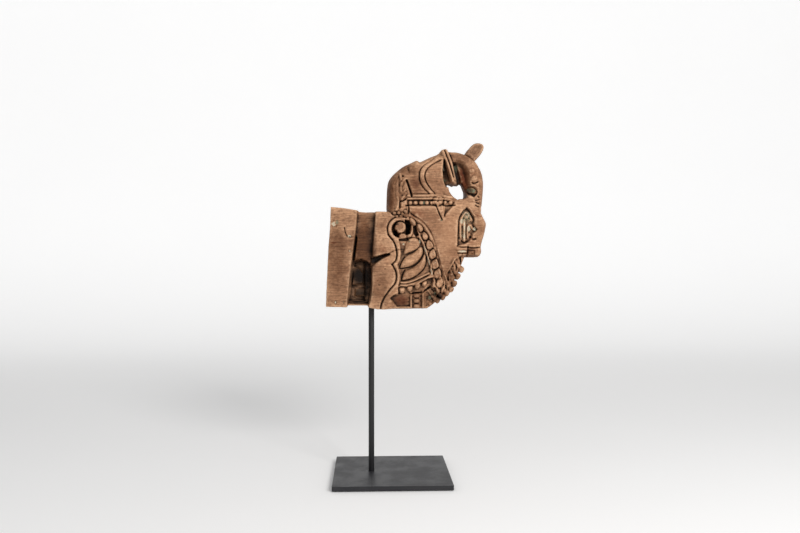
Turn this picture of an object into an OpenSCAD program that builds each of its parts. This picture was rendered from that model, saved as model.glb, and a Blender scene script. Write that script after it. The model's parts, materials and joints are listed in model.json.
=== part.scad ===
// Carved wooden horse forequarter, an old bracket, on a steel post and base plate.
// The post runs in a brass sleeve in the carving, so the carving turns and lifts off.

/* [Base] */
// Width of the base plate, along the horse
plate_w = 160; // [120:1:240]
// Depth of the base plate, across the horse
plate_d = 160; // [110:1:240]
// Thickness of the base plate
plate_t = 6; // [5:0.5:14]
// Radius of the base plate's corners
plate_corner = 1; // [0.5:0.5:10]
// Thickness of the felt sheet under the plate
felt_t = 1.2; // [0.8:0.1:3]
// How far the felt stops short of the plate's edges
felt_inset = 4; // [1:0.5:10]

/* [Post] */
// Diameter of the round steel post
post_d = 8; // [7:0.5:14]
// Distance of the post from the plate's centre, towards the end board
post_offset = 28; // [10:1:50]
// Height of the carving's underside above the floor
underside_z = 236; // [120:1:320]
// How deep the post stands in the carving
socket_depth = 60; // [30:1:80]
// Wall of the brass sleeve that lines the socket
sleeve_wall = 1; // [0.5:0.1:1.5]
// Depth of the seat that the post's lower end turns in
seat_depth = 1.5; // [1:0.1:2]

/* [Screw] */
// Thread diameter of the countersunk screw
screw_d = 5; // [4:0.5:6]
// Diameter of the screw's head
screw_head_d = 9; // [8:0.5:10]
// Length of thread inside the post
screw_bite = 12; // [8:1:20]

/* [Carving] */
// Height of the carving, from its underside to the tips of its ears
carving_h = 228; // [180:1:260]
// Thickness of the block across the horse
block_t = 66; // [58:1:72]
// Thickness of the neck
neck_t = 60; // [50:1:62]
// Thickness of the head
head_t = 50; // [44:1:54]
// Depth of the cross groove in each face of the block
groove_depth = 9; // [5:1:14]
// Depth of the mortise at the foot of each groove
mortise_depth = 22; // [15:1:23]
// Depth of the arched recess in the foreleg and of the lower panels
arch_depth = 5; // [3:1:8]
// Width of the gap between the two folded forelegs
leg_gap = 16; // [8:1:24]
// Width of the carved outline grooves
line_w = 2; // [1.5:0.1:3]
// Depth of the carved outline grooves
line_depth = 2.5; // [1:0.5:4]
// How far straps, buds and bands stand out
relief = 2; // [1:0.5:3]

/* [Ears] */
// Distance of each ear's middle from the horse's middle plane
ear_y = 15; // [12:1:18]
// Thickness of an ear
ear_t = 13; // [9:1:15]
// Diameter of the ear's round peg
peg_d = 7; // [5:0.5:9]
// Length of the ear's round peg
peg_len = 9; // [6:1:12]

/* [Hidden] */
$fn = 48;

run_gap = 0.05;             // radial clearance of a part that turns in another
glue_gap = 0.05;            // radial clearance of a glued peg or sleeve
over = 1;                   // how far a cutter runs past a face
design_h = 228;             // height at which the outlines below are drawn
size_k = carving_h / design_h;
half_t = block_t / 2;       // the block's face, from the middle plane
half_neck = neck_t / 2;
half_head = head_t / 2;

wood = [0.60, 0.42, 0.29];
wood_dark = [0.50, 0.34, 0.23];
brass = [0.72, 0.58, 0.30];
steel_black = [0.15, 0.15, 0.16];
steel_grey = [0.30, 0.30, 0.31];
felt_grey = [0.20, 0.20, 0.21];

plate_bottom = felt_t;
plate_top = felt_t + plate_t;
seat_z = plate_top - seat_depth;
post_top = underside_z + socket_depth;
post_r = post_d / 2;
sleeve_r = post_r + run_gap + sleeve_wall;
sleeve_mouth = 3.5;         // the sleeve starts this far above the underside
head_recess = 0.3;          // the screw's head lies this far inside the plate
head_cone = (screw_head_d - screw_d) / 2;

// ---- curves -------------------------------------------------------------------

// Point at t on the Catmull-Rom curve from b to c, with a before and d after
function curve_point(a, b, c, d, t) =
    0.5 * (2 * b + (c - a) * t + (2 * a - 5 * b + 4 * c - d) * t * t
           + (3 * b - a - 3 * c + d) * t * t * t);

// A smooth open curve through the points p, with n steps between neighbours
function smooth(p, n = 3) =
    let (last = len(p) - 1)
    concat([for (i = [0 : last - 1]) for (s = [0 : n - 1])
            curve_point(p[max(i - 1, 0)], p[i], p[i + 1], p[min(i + 2, last)], s / n)],
           [p[last]]);

// Unit normal of the path p at point i
function normal_at(p, i) =
    let (a = p[max(i - 1, 0)], b = p[min(i + 1, len(p) - 1)], d = b - a)
    [-d[1], d[0]] / norm(d);

// A flat strip of width w along the path p
module strip(p, w) {
    last = len(p) - 1;
    polygon(concat([for (i = [0 : last]) p[i] + normal_at(p, i) * w / 2],
                   [for (i = [last : -1 : 0]) p[i] - normal_at(p, i) * w / 2]));
}

// A profile drawn in the side view, made a slab from y0 to y1
module slab(y0, y1) {
    translate([0, y1, 0]) rotate([90, 0, 0]) linear_extrude(y1 - y0) children();
}

// A slab centred on the middle plane
module middle_slab(t) {
    slab(-t / 2, t / 2) children();
}

// The same shape on both flanks of the horse
module both_flanks() {
    children();
    mirror([0, 1, 0]) children();
}

// ---- outlines, in side view: x from the post, z up from the underside ---------------

board = [[-61.5, 3], [-60, 34], [-58.5, 70], [-57, 106], [-55.5, 122], [-55, 137.5],
         [-40, 136.5], [-19, 134]];
groove_head = [[-17, 132.3], [5.5, 131.3]];
shoulder = [[6, 132.2], [20, 132.2], [27, 127]];
under_chin = [[60, 142], [112, 144], [125, 151], [140, 152], [149, 140]];
knee = smooth([[149.3, 132.5], [152, 126], [157, 116.5], [155, 102], [151.5, 92], [149.6, 82],
               [150, 76], [147.5, 72]]);
hoof = [[145, 71], [128.3, 71]];
chest = smooth([[127.5, 66], [124, 56], [119, 48], [114, 39], [108, 31], [102, 24], [97, 18]]);
belly = [[90, 9.5], [82, 3.5], [74, 0], [8, 0], [-4, 2.5], [-33, 4.5], [-36, 2]];

block_outline = concat(board, groove_head, shoulder, under_chin, knee, hoof, chest, belly);

ear_foot = [136.6, 208.8];   // middle of the ear's root
ear_lean = 37.6;             // lean of the ear towards the horse's front, in degrees
ear_shape = smooth([[-8.2, 0], [-8.6, 8], [-7.2, 15], [-3.6, 21.5], [0.5, 23.8], [6, 22],
                    [8.2, 16.5], [9, 9], [8.2, 0]]);

// A point of the flat seat under the ear, at x from the middle of the ear's root
function ear_seat(x) = ear_foot + x * [cos(ear_lean), -sin(ear_lean)];

mane_back = [[21.2, 116], [21.2, 154]];
nape = smooth([[21.4, 160], [22.5, 170], [26, 179], [32, 186], [42, 194], [52, 198.5],
               [60, 202.5], [63, 203]]);
crest = smooth([[66.5, 201.5], [70, 203], [80, 208.5], [92, 213]]);
throat = smooth([[100, 210], [98, 198], [97, 188], [99, 174], [104, 164], [113, 154],
                 [122, 151]]);

neck_outline = concat(mane_back, nape, crest, throat, [[130, 150], [130, 116]]);

poll = smooth([[88, 211], [93, 216], [97, 219.5], [101, 220], [104, 217], [107, 215.7],
               [118, 216.5], ear_seat(-9)]);
face = smooth([ear_seat(9), [148, 197], [151.5, 188], [154, 176], [154.5, 164], [153.5, 152],
               [152.5, 140], [151, 132]]);
cheek = smooth([[128, 140], [125, 156], [121.5, 168], [117, 172]]);

head_outline = concat(poll, face, [[149, 126], [130, 126]], cheek,
                      [[113, 168], [108, 172], [100, 168], [90, 180], [84, 200]]);

hole_outline = concat(smooth([[103.5, 167], [105, 160], [112, 153], [119, 150.5],
                              [125, 152.5]]),
                      smooth([[124.5, 157], [122.5, 166], [119.5, 170]]),
                      smooth([[116, 168.5], [112.5, 167], [109, 169.5], [105.5, 170]]));

inner_recess = smooth([[99, 204], [101.5, 196], [105, 184], [109, 173], [105, 169], [100, 176],
                       [98.5, 190], [99, 204]], 2);
outer_recess = smooth([[112, 203], [118, 200], [123, 190], [126, 178], [123, 168], [118, 172],
                       [115, 184], [111, 196], [112, 203]], 2);
arch_outline = concat(smooth([[117.8, 84], [117.8, 104], [118.5, 119], [122, 129],
                              [130.5, 138]]),
                      smooth([[130.5, 138], [136, 131], [141, 122], [139.5, 115],
                              [138, 104], [136, 94], [131, 90], [127.5, 88]]));

leg_parting = [[134, 60], [134, 112], [140, 124], [170, 124], [170, 60]];

mortise = [[-35, 6], [-27, 66], [-12, 68], [-2, 62], [1, 66], [0, 30], [-2, 6]];
groove_outline = [[-34.5, -5], [-30, 25], [-26, 66], [-21, 104], [-17, 145], [7, 145],
                  [4, 115], [1.5, 80], [0.5, 40], [-3, -5]];

// ---- carved lines and bands --------------------------------------------------------

ogee_upper = smooth([[25, 98], [30, 93], [33, 84], [34.5, 74], [33, 66], [28, 60.5]]);
ogee_lower = smooth([[28, 60.5], [32, 53], [34, 44], [31.5, 34], [25, 26], [18, 16], [13, 3]]);
leaf_ends = [[[45, 73], [39, 61], [38.5, 54]], [[44, 50], [41.5, 42], [41.5, 37]]];
leaf_edges = [[[45, 74], [52, 75.5], [60, 80], [65, 86]],
              [[38.5, 53.5], [50, 55.5], [61, 63], [69, 75]],
              [[41.5, 37], [50, 38.5], [60, 44], [70, 54], [74, 64]]];
lower_bands = [[[39, 34], [50, 34.5], [60, 38], [72, 43.5]],
               [[39, 30.5], [50, 30.5], [60, 34], [70, 38.5]]];
garland_rim = smooth([[48, 133], [60, 124], [73, 115], [82, 101], [88, 84], [94, 66],
                      [99, 50]]);
neck_ring = smooth([[93, 205], [80, 197], [70, 186], [68, 178], [73, 167], [84, 156]]);
bridle = smooth([[100, 217], [105, 203], [110, 187], [113.5, 172]]);
ribbon_left = [[89, 141], [96.5, 122]];
ribbon_right = [[111, 141], [100, 127]];
collar_z = 150;
collar_x = [50, 106];
bud_places = [[56, 120, 4], [65, 110, 4], [72.5, 99.5, 5], [78.5, 87.5, 5.5], [83.5, 74, 6],
              [87, 62, 6], [90.5, 49, 6], [93.5, 35, 5]];
tooth_places = [[42.5, 24.5], [53, 27], [63.5, 30.5], [73, 33.5]];
garland_bumps = [[122.3, 54, 4], [117, 44, 4.5], [112.5, 34.5, 4.5], [106.5, 27.5, 4.5],
                 [100.5, 20, 4]];
scroll_centre = [39.5, 109];
scroll_r = 16.5;
scroll_rim = 4.5;
boss_r = 6.2;
scroll_depth = 14;

// Grooves that outline the scroll border, the leaves and the ribbon
module carved_lines() {
    strip(ogee_upper, line_w);
    strip(ogee_lower, line_w);
    for (p = leaf_edges) strip(smooth(p), line_w);
    for (p = leaf_ends) strip(smooth(p), line_w);
    for (p = lower_bands) strip(smooth(p), line_w * 0.8);
    strip(garland_rim, line_w);
    strip(ribbon_left, line_w);
    strip(ribbon_right, line_w);
}

// The hollow of the scroll around its boss
module scroll_hollow() {
    translate(scroll_centre) difference() {
        circle(scroll_r - scroll_rim);
        translate([1, 0.5]) circle(boss_r);
        translate([4, -11]) square([12, 10], center = true);
    }
}

// The recessed panels under the lower bands, left and right of the beaded strap
module lower_panels() {
    polygon([[26, 4], [25, 16], [28, 19], [36, 20], [50, 19], [52, 16], [52, 4]]);
    polygon([[73, 6], [73, 22], [77, 30], [86, 30], [88, 16], [80, 6]]);
}

// Long cuts that split the mane into locks
module mane_cuts() {
    for (x = [26, 31, 36]) strip(smooth([[x, 136], [x, 155], [x + 2, 172]]), line_w * 0.8);
    strip(smooth([[48, 175], [52, 164], [55, 155]]), line_w * 1.3);
}

// Everything cut into one flank
module flank_cuts() {
    slab(-half_t - over, -half_t + groove_depth) polygon(groove_outline);
    slab(-half_t - over, -half_t + mortise_depth) polygon(mortise);
    slab(-half_t - over, -half_t + line_depth) carved_lines();
    slab(-half_t - over, -half_t + scroll_depth) scroll_hollow();
    slab(-half_t - over, -half_t + arch_depth) polygon(arch_outline);
    slab(-half_t - over, -half_t + arch_depth) lower_panels();
    slab(-half_neck - over, -half_neck + line_depth) mane_cuts();
    slab(-half_t - over, -half_neck + 16) polygon(inner_recess);
    slab(-half_t - over, -half_head + 12) polygon(outer_recess);
}

// A bud or bead: part of a ball that shows out of a face at depth y
module bud(place, y) {
    translate([place[0], -y, place[1]]) sphere(place[2]);
}

// Everything that stands out of one flank
module flank_relief() {
    neck_face = half_neck + relief;
    slab(-neck_face, -half_neck + over) strip(neck_ring, 7);
    slab(-neck_face, -half_neck + over) for (z = [collar_z, collar_z + 4])
        translate([collar_x[0], z]) square([collar_x[1] - collar_x[0], 2.6]);
    slab(-neck_face, -half_neck + over) for (i = [0 : 4])
        translate([51 + i * 8.2, collar_z - 7.5]) square([6, 5.5]);
    slab(-neck_face - 1, -half_neck + over) translate([90, 147.5]) circle(6.5);
    slab(-half_head - 3, -half_head + 8) strip(bridle, 4);
    slab(-half_head - 3, -half_head + 8) translate([4.5, 1]) strip(bridle, 3.6);
    slab(-half_t + over + arch_depth - 3, -half_t + arch_depth + over)
        strip([[127.3, 92], [127.3, 118]], 5);
    slab(-half_t, -half_t + arch_depth + over) strip([[60, 2], [60, 20]], 9);
    for (p = bud_places) bud(p, half_t - p[2] + relief);
    for (p = tooth_places) bud([p[0], p[1], 4.5], half_t - 4.5 + relief / 2);
    bud([138, 162, 6], half_head - 4);
    bud([141, 180, 6], half_head - 4);
}

// Rows of beads that hang across the chest
module chest_garlands() {
    rows = 5;
    for (b = garland_bumps) for (i = [0 : rows - 1])
        translate([b[0], (i / (rows - 1) - 0.5) * (block_t - 2 * b[2]), b[1]]) sphere(b[2]);
}

// ---- pieces -----------------------------------------------------------------------

// Puts a shape drawn upright at the ear's root in its place, ear_y to one side
module at_ear() {
    translate([ear_foot[0], -ear_y, ear_foot[1]]) rotate([0, ear_lean, 0]) children();
}

// The head's wood under one ear, bored for its peg
module ear_socket() {
    at_ear() translate([0, 0, -peg_len - 0.5])
        cylinder(h = peg_len + 1.5, r = peg_d / 2 + glue_gap);
}

// One ear, a hollowed leaf on a round peg, on the viewer's side
module ear() {
    at_ear() {
        difference() {
            slab(-ear_t / 2, ear_t / 2) polygon(ear_shape);
            translate([10, -ear_t * 0.25, 14]) rotate([0, -18, 0])
                cylinder(h = 26, r = 5.5, center = true);
        }
        translate([0, 0, -peg_len]) cylinder(h = peg_len + 0.5, r = peg_d / 2);
    }
}

// The carving with its underside at z = 0 and the post's axis at x = 0
module horse_body() {
    difference() {
        union() {
            middle_slab(block_t) polygon(block_outline);
            middle_slab(neck_t) polygon(neck_outline);
            middle_slab(head_t) polygon(head_outline);
            chest_garlands();
        }
        middle_slab(block_t + 20) polygon(hole_outline);
        middle_slab(leg_gap) polygon(leg_parting);
        both_flanks() flank_cuts();
    }
    both_flanks() flank_relief();
}

module carved_horse() {
    color(wood) translate([-post_offset, 0, underside_z]) difference() {
        scale(size_k) difference() {
            horse_body();
            both_flanks() ear_socket();
        }
        translate([0, 0, -over])
            cylinder(h = over + sleeve_mouth, r = post_r + 3 * run_gap);
        translate([0, 0, sleeve_mouth])
            cylinder(h = socket_depth - sleeve_mouth + sleeve_wall, r = sleeve_r + glue_gap);
    }
}

module right_ear() {
    color(wood_dark) translate([-post_offset, 0, underside_z]) scale(size_k) ear();
}

module left_ear() {
    color(wood_dark) translate([-post_offset, 0, underside_z]) scale(size_k)
        mirror([0, 1, 0]) ear();
}

// Brass cup over the post's upper end; its closed top carries the carving's weight
module post_sleeve() {
    color(brass) translate([-post_offset, 0, underside_z + sleeve_mouth]) difference() {
        cylinder(h = socket_depth - sleeve_mouth + sleeve_wall, r = sleeve_r);
        translate([0, 0, -over])
            cylinder(h = over + socket_depth - sleeve_mouth, r = post_r + run_gap);
    }
}

module post() {
    color(steel_black) translate([-post_offset, 0, 0]) difference() {
        translate([0, 0, seat_z]) cylinder(h = post_top - seat_z, r = post_r);
        translate([0, 0, seat_z - over])
            cylinder(h = over + screw_bite + over, r = screw_d / 2 + run_gap);
    }
}

module base_screw() {
    head_z = plate_bottom + head_recess;
    color(steel_grey) translate([-post_offset, 0, head_z]) difference() {
        union() {
            cylinder(h = head_cone, r1 = screw_head_d / 2, r2 = screw_d / 2);
            cylinder(h = seat_z + screw_bite - head_z, r = screw_d / 2);
        }
        translate([0, 0, -over]) cylinder(h = over + 1.8, r = 1.7, $fn = 6);
    }
}

module rounded_sheet(w, d, r) {
    difference() {
        square([w, d], center = true);
        for (x = [-1, 1]) for (y = [-1, 1]) translate([x * w / 2, y * d / 2])
            difference() {
                square(2 * r, center = true);
                translate([-x * r, -y * r]) circle(r);
            }
    }
}

module base_plate() {
    color(steel_black) difference() {
        translate([0, 0, plate_bottom]) linear_extrude(plate_t)
            rounded_sheet(plate_w, plate_d, plate_corner);
        translate([-post_offset, 0, 0]) {
            translate([0, 0, seat_z]) cylinder(h = seat_depth + over, r = post_r + run_gap);
            cylinder(h = plate_top, r = screw_d / 2 + run_gap);
            translate([0, 0, plate_bottom - over])
                cylinder(h = over + head_recess, r = screw_head_d / 2 + run_gap);
            translate([0, 0, plate_bottom + head_recess])
                cylinder(h = head_cone, r1 = screw_head_d / 2 + run_gap,
                         r2 = screw_d / 2 + run_gap);
        }
    }
}

module base_felt() {
    color(felt_grey) difference() {
        linear_extrude(felt_t)
            rounded_sheet(plate_w - 2 * felt_inset, plate_d - 2 * felt_inset, plate_corner);
        translate([-post_offset, 0, -over]) cylinder(h = felt_t + 2 * over, r = screw_head_d);
    }
}

carved_horse();
right_ear();
left_ear();
post_sleeve();
post();
base_screw();
base_plate();
base_felt();
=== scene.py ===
"""Looks of the carved wooden horse: the carving, its ears, its stand and a plain studio.

The carving and the ears are sculpted as fields on a regular lattice. Two maps of the side view
hold how far each flank stands from the middle plane, a third how deep a place lies inside the
outline, and their smooth intersection is the solid. Its skin is drawn with surface nets.
Side-view drawings are in millimetres: x from the plate's centre, z from the floor, at the size
that DRAWN_HEIGHT, DRAWN_UNDERSIDE and DRAWN_POST_X give. The frame scales and places them.
"""
from __future__ import annotations

import itertools
import json
import logging
import math
from dataclasses import dataclass, field
from enum import Enum

import bpy
import numpy as np
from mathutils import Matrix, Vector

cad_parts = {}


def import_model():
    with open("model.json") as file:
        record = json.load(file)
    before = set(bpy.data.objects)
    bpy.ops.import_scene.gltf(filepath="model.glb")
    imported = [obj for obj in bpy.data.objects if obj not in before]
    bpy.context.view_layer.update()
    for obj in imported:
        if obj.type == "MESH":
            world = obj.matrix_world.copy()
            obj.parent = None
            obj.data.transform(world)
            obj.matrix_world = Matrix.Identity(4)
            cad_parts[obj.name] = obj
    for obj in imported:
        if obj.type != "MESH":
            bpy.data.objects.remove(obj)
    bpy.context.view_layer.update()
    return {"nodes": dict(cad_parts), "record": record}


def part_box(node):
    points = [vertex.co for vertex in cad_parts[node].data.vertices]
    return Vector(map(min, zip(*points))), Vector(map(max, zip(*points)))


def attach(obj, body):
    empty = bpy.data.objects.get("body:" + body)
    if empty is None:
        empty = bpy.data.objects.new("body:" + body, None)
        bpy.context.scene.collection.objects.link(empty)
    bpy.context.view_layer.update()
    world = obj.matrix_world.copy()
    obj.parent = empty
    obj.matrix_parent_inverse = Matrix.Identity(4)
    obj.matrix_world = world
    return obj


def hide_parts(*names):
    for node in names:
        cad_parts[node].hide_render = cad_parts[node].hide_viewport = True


LOG = logging.getLogger("carved_horse")
MM = 0.001
DRAWN_HEIGHT = 220.2       # from the underside to the crown of the carving, without its ears
DRAWN_UNDERSIDE = 236.0
DRAWN_POST_X = -28.0

Array = np.ndarray
Triple = tuple[float, float, float]
Points = list[tuple[float, float]]
Socket = bpy.types.NodeSocket


class Flank(Enum):
    """The two carved sides; the value is the side's sign along y."""

    RIGHT = -1
    LEFT = 1


class Cut(Enum):
    """How a stroke of the carver's gouge changes the flank."""

    GROOVE = "groove"      # a round-bottomed line
    ROLL = "roll"          # a half-round cord
    STRAP = "strap"        # a flat band with rounded edges


class Stain(Enum):
    """Marks that colour the wood: remains of pigment, rust and stains, darker patches that are partly painted
    shade, near-black painted shade in deep hollows, and a few painted highlights; the value is the
    attribute's name.
    """

    # pale pigment, with a few painted highlights
    CREAM = "cream"
    VERDIGRIS = "verdigris"
    RUST = "rust"
    # near-black painted shade in the deepest hollows
    SOOT = "soot"
    BARE = "bare"
    # darker patches, partly a darker old surface and partly painted shade
    PATINA = "patina"


# ---- arithmetic ----


def smooth_max(a: Array, b: Array, k: float | Array) -> Array:
    """Larger of a and b, rounded over k: half of their sum plus the root of (a - b) and k squared."""
    return 0.5 * (a + b + np.sqrt((a - b) ** 2 + k * k))


def smooth_min(a: Array, b: Array, k: float) -> Array:
    """Smaller of a and b with a rounded corner, from smooth_max of the negatives."""
    return -smooth_max(-a, -b, k)


def ramp(value: Array) -> Array:
    """Smooth step: 3 t squared less 2 t cubed, with t limited to 0 to 1."""
    t = np.clip(value, 0.0, 1.0)
    return t * t * (3.0 - 2.0 * t)


def dome(value: Array, power: float = 2.0) -> Array:
    """Rise of a round edge, 0 at the rim and 1 inside: (1 - (1 - t) to the power) rooted."""
    t = 1.0 - np.clip(value, 0.0, 1.0)
    return (1.0 - t ** power) ** (1.0 / power)


def value_noise(points: Array, cell: tuple[float, ...], seed: int) -> Array:
    """Smooth noise: seeded values at the corners of a lattice, blended inside each cell.

    Args:
        points: coordinates, with one column for each entry of cell.
        cell: size of the lattice along each axis.
        seed: which set of random values to use.
    Returns:
        Values from -1 to 1, one for each point.
    """
    table = np.random.default_rng(seed).uniform(-1.0, 1.0, 4096).astype(np.float32)
    primes = np.array([73856093, 19349663, 83492791][:len(cell)])
    scaled = points / np.asarray(cell)
    low = np.floor(scaled).astype(np.int64)
    part = ramp(scaled - low)
    total = np.zeros(points.shape[:-1], np.float32)
    for corner in itertools.product((0, 1), repeat=len(cell)):
        key = np.bitwise_xor.reduce((low + corner) * primes, axis=-1) & 4095
        weight = np.prod(np.where(np.array(corner) == 1, part, 1.0 - part), axis=-1)
        total += weight * table[key]
    return total


def smooth_curve(points: Points, steps: int = 5, closed: bool = False) -> Array:
    """Catmull-Rom curve through the points, with the same number of steps in each span.

    Args:
        points: the points it passes through.
        steps: points made for each span.
        closed: True if the last point runs back into the first.
    Returns:
        An array of points, with the last point kept when the curve is open.
    """
    p = np.asarray(points, float)
    if closed:
        a, b, c, d = np.roll(p, 1, 0), p, np.roll(p, -1, 0), np.roll(p, -2, 0)
    else:
        q = np.vstack([p[:1], p, p[-1:]])
        a, b, c, d = q[:-3], q[1:-2], q[2:-1], q[3:]
    t = (np.arange(steps) / steps)[None, :, None]
    a, b, c, d = (v[:, None, :] for v in (a, b, c, d))
    curve = 0.5 * (2 * b + (c - a) * t + (2 * a - 5 * b + 4 * c - d) * t ** 2
                   + (3 * b - a - 3 * c + d) * t ** 3)
    curve = curve.reshape(-1, 2)
    return curve if closed else np.vstack([curve, p[-1:]])


def path_distance(x: Array, z: Array, path: Array) -> tuple[Array, Array]:
    """Distance to a chain of straight pieces, and how far along the chain the nearest point is.

    Args:
        x: one coordinate of each place.
        z: the other coordinate.
        path: the chain's points.
    Returns:
        Distances, and positions along the chain from 0 to 1.
    """
    start, step = path[:-1], np.diff(path, axis=0)
    length = np.maximum(np.hypot(step[:, 0], step[:, 1]), 1e-9)
    run = np.concatenate([[0.0], np.cumsum(length)])
    dx, dz = x[..., None] - start[:, 0], z[..., None] - start[:, 1]
    t = np.clip((dx * step[:, 0] + dz * step[:, 1]) / length ** 2, 0.0, 1.0)
    gap = np.hypot(dx - t * step[:, 0], dz - t * step[:, 1])
    best = gap.argmin(-1)[..., None]
    along = np.take_along_axis(t * length + run[:-1], best, -1)[..., 0] / run[-1]
    return np.take_along_axis(gap, best, -1)[..., 0], along


def inside_distance(x: Array, z: Array, outline: Array) -> Array:
    """Distance to a closed outline, positive inside it, by counting the edges to the right.

    Args:
        x: one coordinate of each place.
        z: the other coordinate.
        outline: the outline's points, not repeated at the end.
    Returns:
        Signed distances.
    """
    loop = np.vstack([outline, outline[:1]])
    gap = path_distance(x, z, loop)[0]
    (x0, z0), (x1, z1) = loop[:-1].T, loop[1:].T
    spans = (z0 > z[..., None]) != (z1 > z[..., None])
    rise = np.where(z1 == z0, 1e-9, z1 - z0)
    cross = x0 + (z[..., None] - z0) * (x1 - x0) / rise
    odd = (spans & (x[..., None] < cross)).sum(-1) % 2 == 1
    return np.where(odd, gap, -gap)


# ---- carver's marks ----


@dataclass(frozen=True)
class Stroke:
    """A line cut or left standing along a path of the side view."""

    cut: Cut
    points: Points
    width: float
    amount: float
    taper: float = 0.0      # share by which width and depth fall off towards the last point
    curved: bool = True


@dataclass(frozen=True)
class Patch:
    """An area lowered or raised, or brought to a set distance from the middle plane."""

    outline: Points
    change: float = 0.0
    level: float | None = None
    edge: float = 1.0
    curved: bool = False
    puff: float = 0.0       # extra rise of a pillowed middle, over puff_run from the rim
    puff_run: float = 5.0


@dataclass(frozen=True)
class Bead:
    """A round or egg-shaped knob with a cut line around it."""

    x: float
    z: float
    half_x: float
    half_z: float
    rise: float
    turn: float = 0.0       # lean of its long axis towards the horse's front, in degrees
    ring: float = 0.8       # depth of the line around it
    point: float = 0.0      # share by which it narrows towards its upper end, as a drop does


@dataclass(frozen=True)
class Spot:
    """A stained place in the side view."""

    x: float
    z: float
    half_x: float
    half_z: float
    strength: float = 1.0
    turn: float = 0.0


class SideMap:
    """How far one flank stands from the middle plane, over a grid of the side view."""

    def __init__(self, x: Array, z: Array, half: Array) -> None:
        """Keeps the grid's x and z, indexed [column, row], and its uncarved half-thickness."""
        self.x, self.z, self.half = x, z, half.astype(np.float64)
        self.pitch = float(x[1, 0] - x[0, 0])

    def _window(self, points: Array, margin: float) -> tuple[slice, slice]:
        """Part of the grid that holds the points and a margin around them.

        Args:
            points: places to hold.
            margin: room around them.
        Returns:
            Slices along x and z.
        """
        low, high = points.min(0) - margin, points.max(0) + margin
        i0 = int(np.clip((low[0] - self.x[0, 0]) / self.pitch, 0, self.x.shape[0] - 1))
        i1 = int(np.clip((high[0] - self.x[0, 0]) / self.pitch + 2, 1, self.x.shape[0]))
        j0 = int(np.clip((low[1] - self.z[0, 0]) / self.pitch, 0, self.x.shape[1] - 1))
        j1 = int(np.clip((high[1] - self.z[0, 0]) / self.pitch + 2, 1, self.x.shape[1]))
        return slice(i0, i1), slice(j0, j1)

    def stroke(self, mark: Stroke) -> None:
        """Cuts or raises along a path. With s the distance over half the width, a groove goes
        down by 1 - s squared, a cord rises by its root, and a strap by its fourth-power root.

        Args:
            mark: the line.
        """
        path = smooth_curve(mark.points) if mark.curved else np.asarray(mark.points, float)
        part = self._window(path, mark.width)
        gap, along = path_distance(self.x[part], self.z[part], path)
        fade = 1.0 - mark.taper * along
        s = np.clip(gap / (0.5 * mark.width * fade), 0.0, 1.0)
        half = self.half[part]
        if mark.cut is Cut.GROOVE:
            half -= mark.amount * fade * (1.0 - s ** 2)
        elif mark.cut is Cut.ROLL:
            half += mark.amount * fade * np.sqrt(1.0 - s ** 2)
        else:
            half += mark.amount * fade * (1.0 - s ** 6) ** 0.5

    def patch(self, mark: Patch) -> None:
        """Lowers, raises or levels an area, with a wall that is edge wide.

        Args:
            mark: the area.
        """
        outline = smooth_curve(mark.outline, closed=True) if mark.curved else np.asarray(mark.outline, float)
        part = self._window(outline, 2.0 + mark.edge)
        depth = inside_distance(self.x[part], self.z[part], outline)
        share = ramp(depth / mark.edge + 0.5)
        half = self.half[part]
        if mark.level is not None:
            half += (mark.level - half) * share
        half += mark.change * share
        if mark.puff:
            half += mark.puff * dome(depth / mark.puff_run)

    def bead(self, mark: Bead) -> None:
        """Raises an egg-shaped knob over the surface there, with a line cut around it.

        Args:
            mark: the knob.
        """
        corners = np.array([[mark.x, mark.z]])
        part = self._window(corners, 1.6 * max(mark.half_x, mark.half_z) + 1.0)
        turn = math.radians(mark.turn)
        dx, dz = self.x[part] - mark.x, self.z[part] - mark.z
        a = (dx * math.cos(turn) - dz * math.sin(turn)) / mark.half_x
        b = (dx * math.sin(turn) + dz * math.cos(turn)) / mark.half_z
        a = a / (1.0 - mark.point * np.clip(b, -0.5, 1.0))
        r = np.hypot(a, b)
        ring = np.clip(1.0 - np.abs(r - 1.12) / 0.26, 0.0, 1.0)
        self.half[part] += mark.rise * np.sqrt(np.clip(1.0 - r ** 2, 0.0, 1.0)) - mark.ring * ramp(ring)

    def add_noise(self, amount: float, cell: tuple[float, float], seed: int) -> None:
        """Adds smooth unevenness of the given height and grain."""
        self.half += amount * value_noise(np.stack([self.x, self.z], -1), cell, seed)

    def soften(self, times: int) -> None:
        """Averages each place with its four neighbours, once for each time.

        Args:
            times: how often.
        """
        for _ in range(times):
            h = np.pad(self.half, 1, mode="edge")
            self.half = 0.5 * self.half + 0.125 * (h[2:, 1:-1] + h[:-2, 1:-1] + h[1:-1, 2:] + h[1:-1, :-2])


# ---- lattice and skin ----


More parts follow.
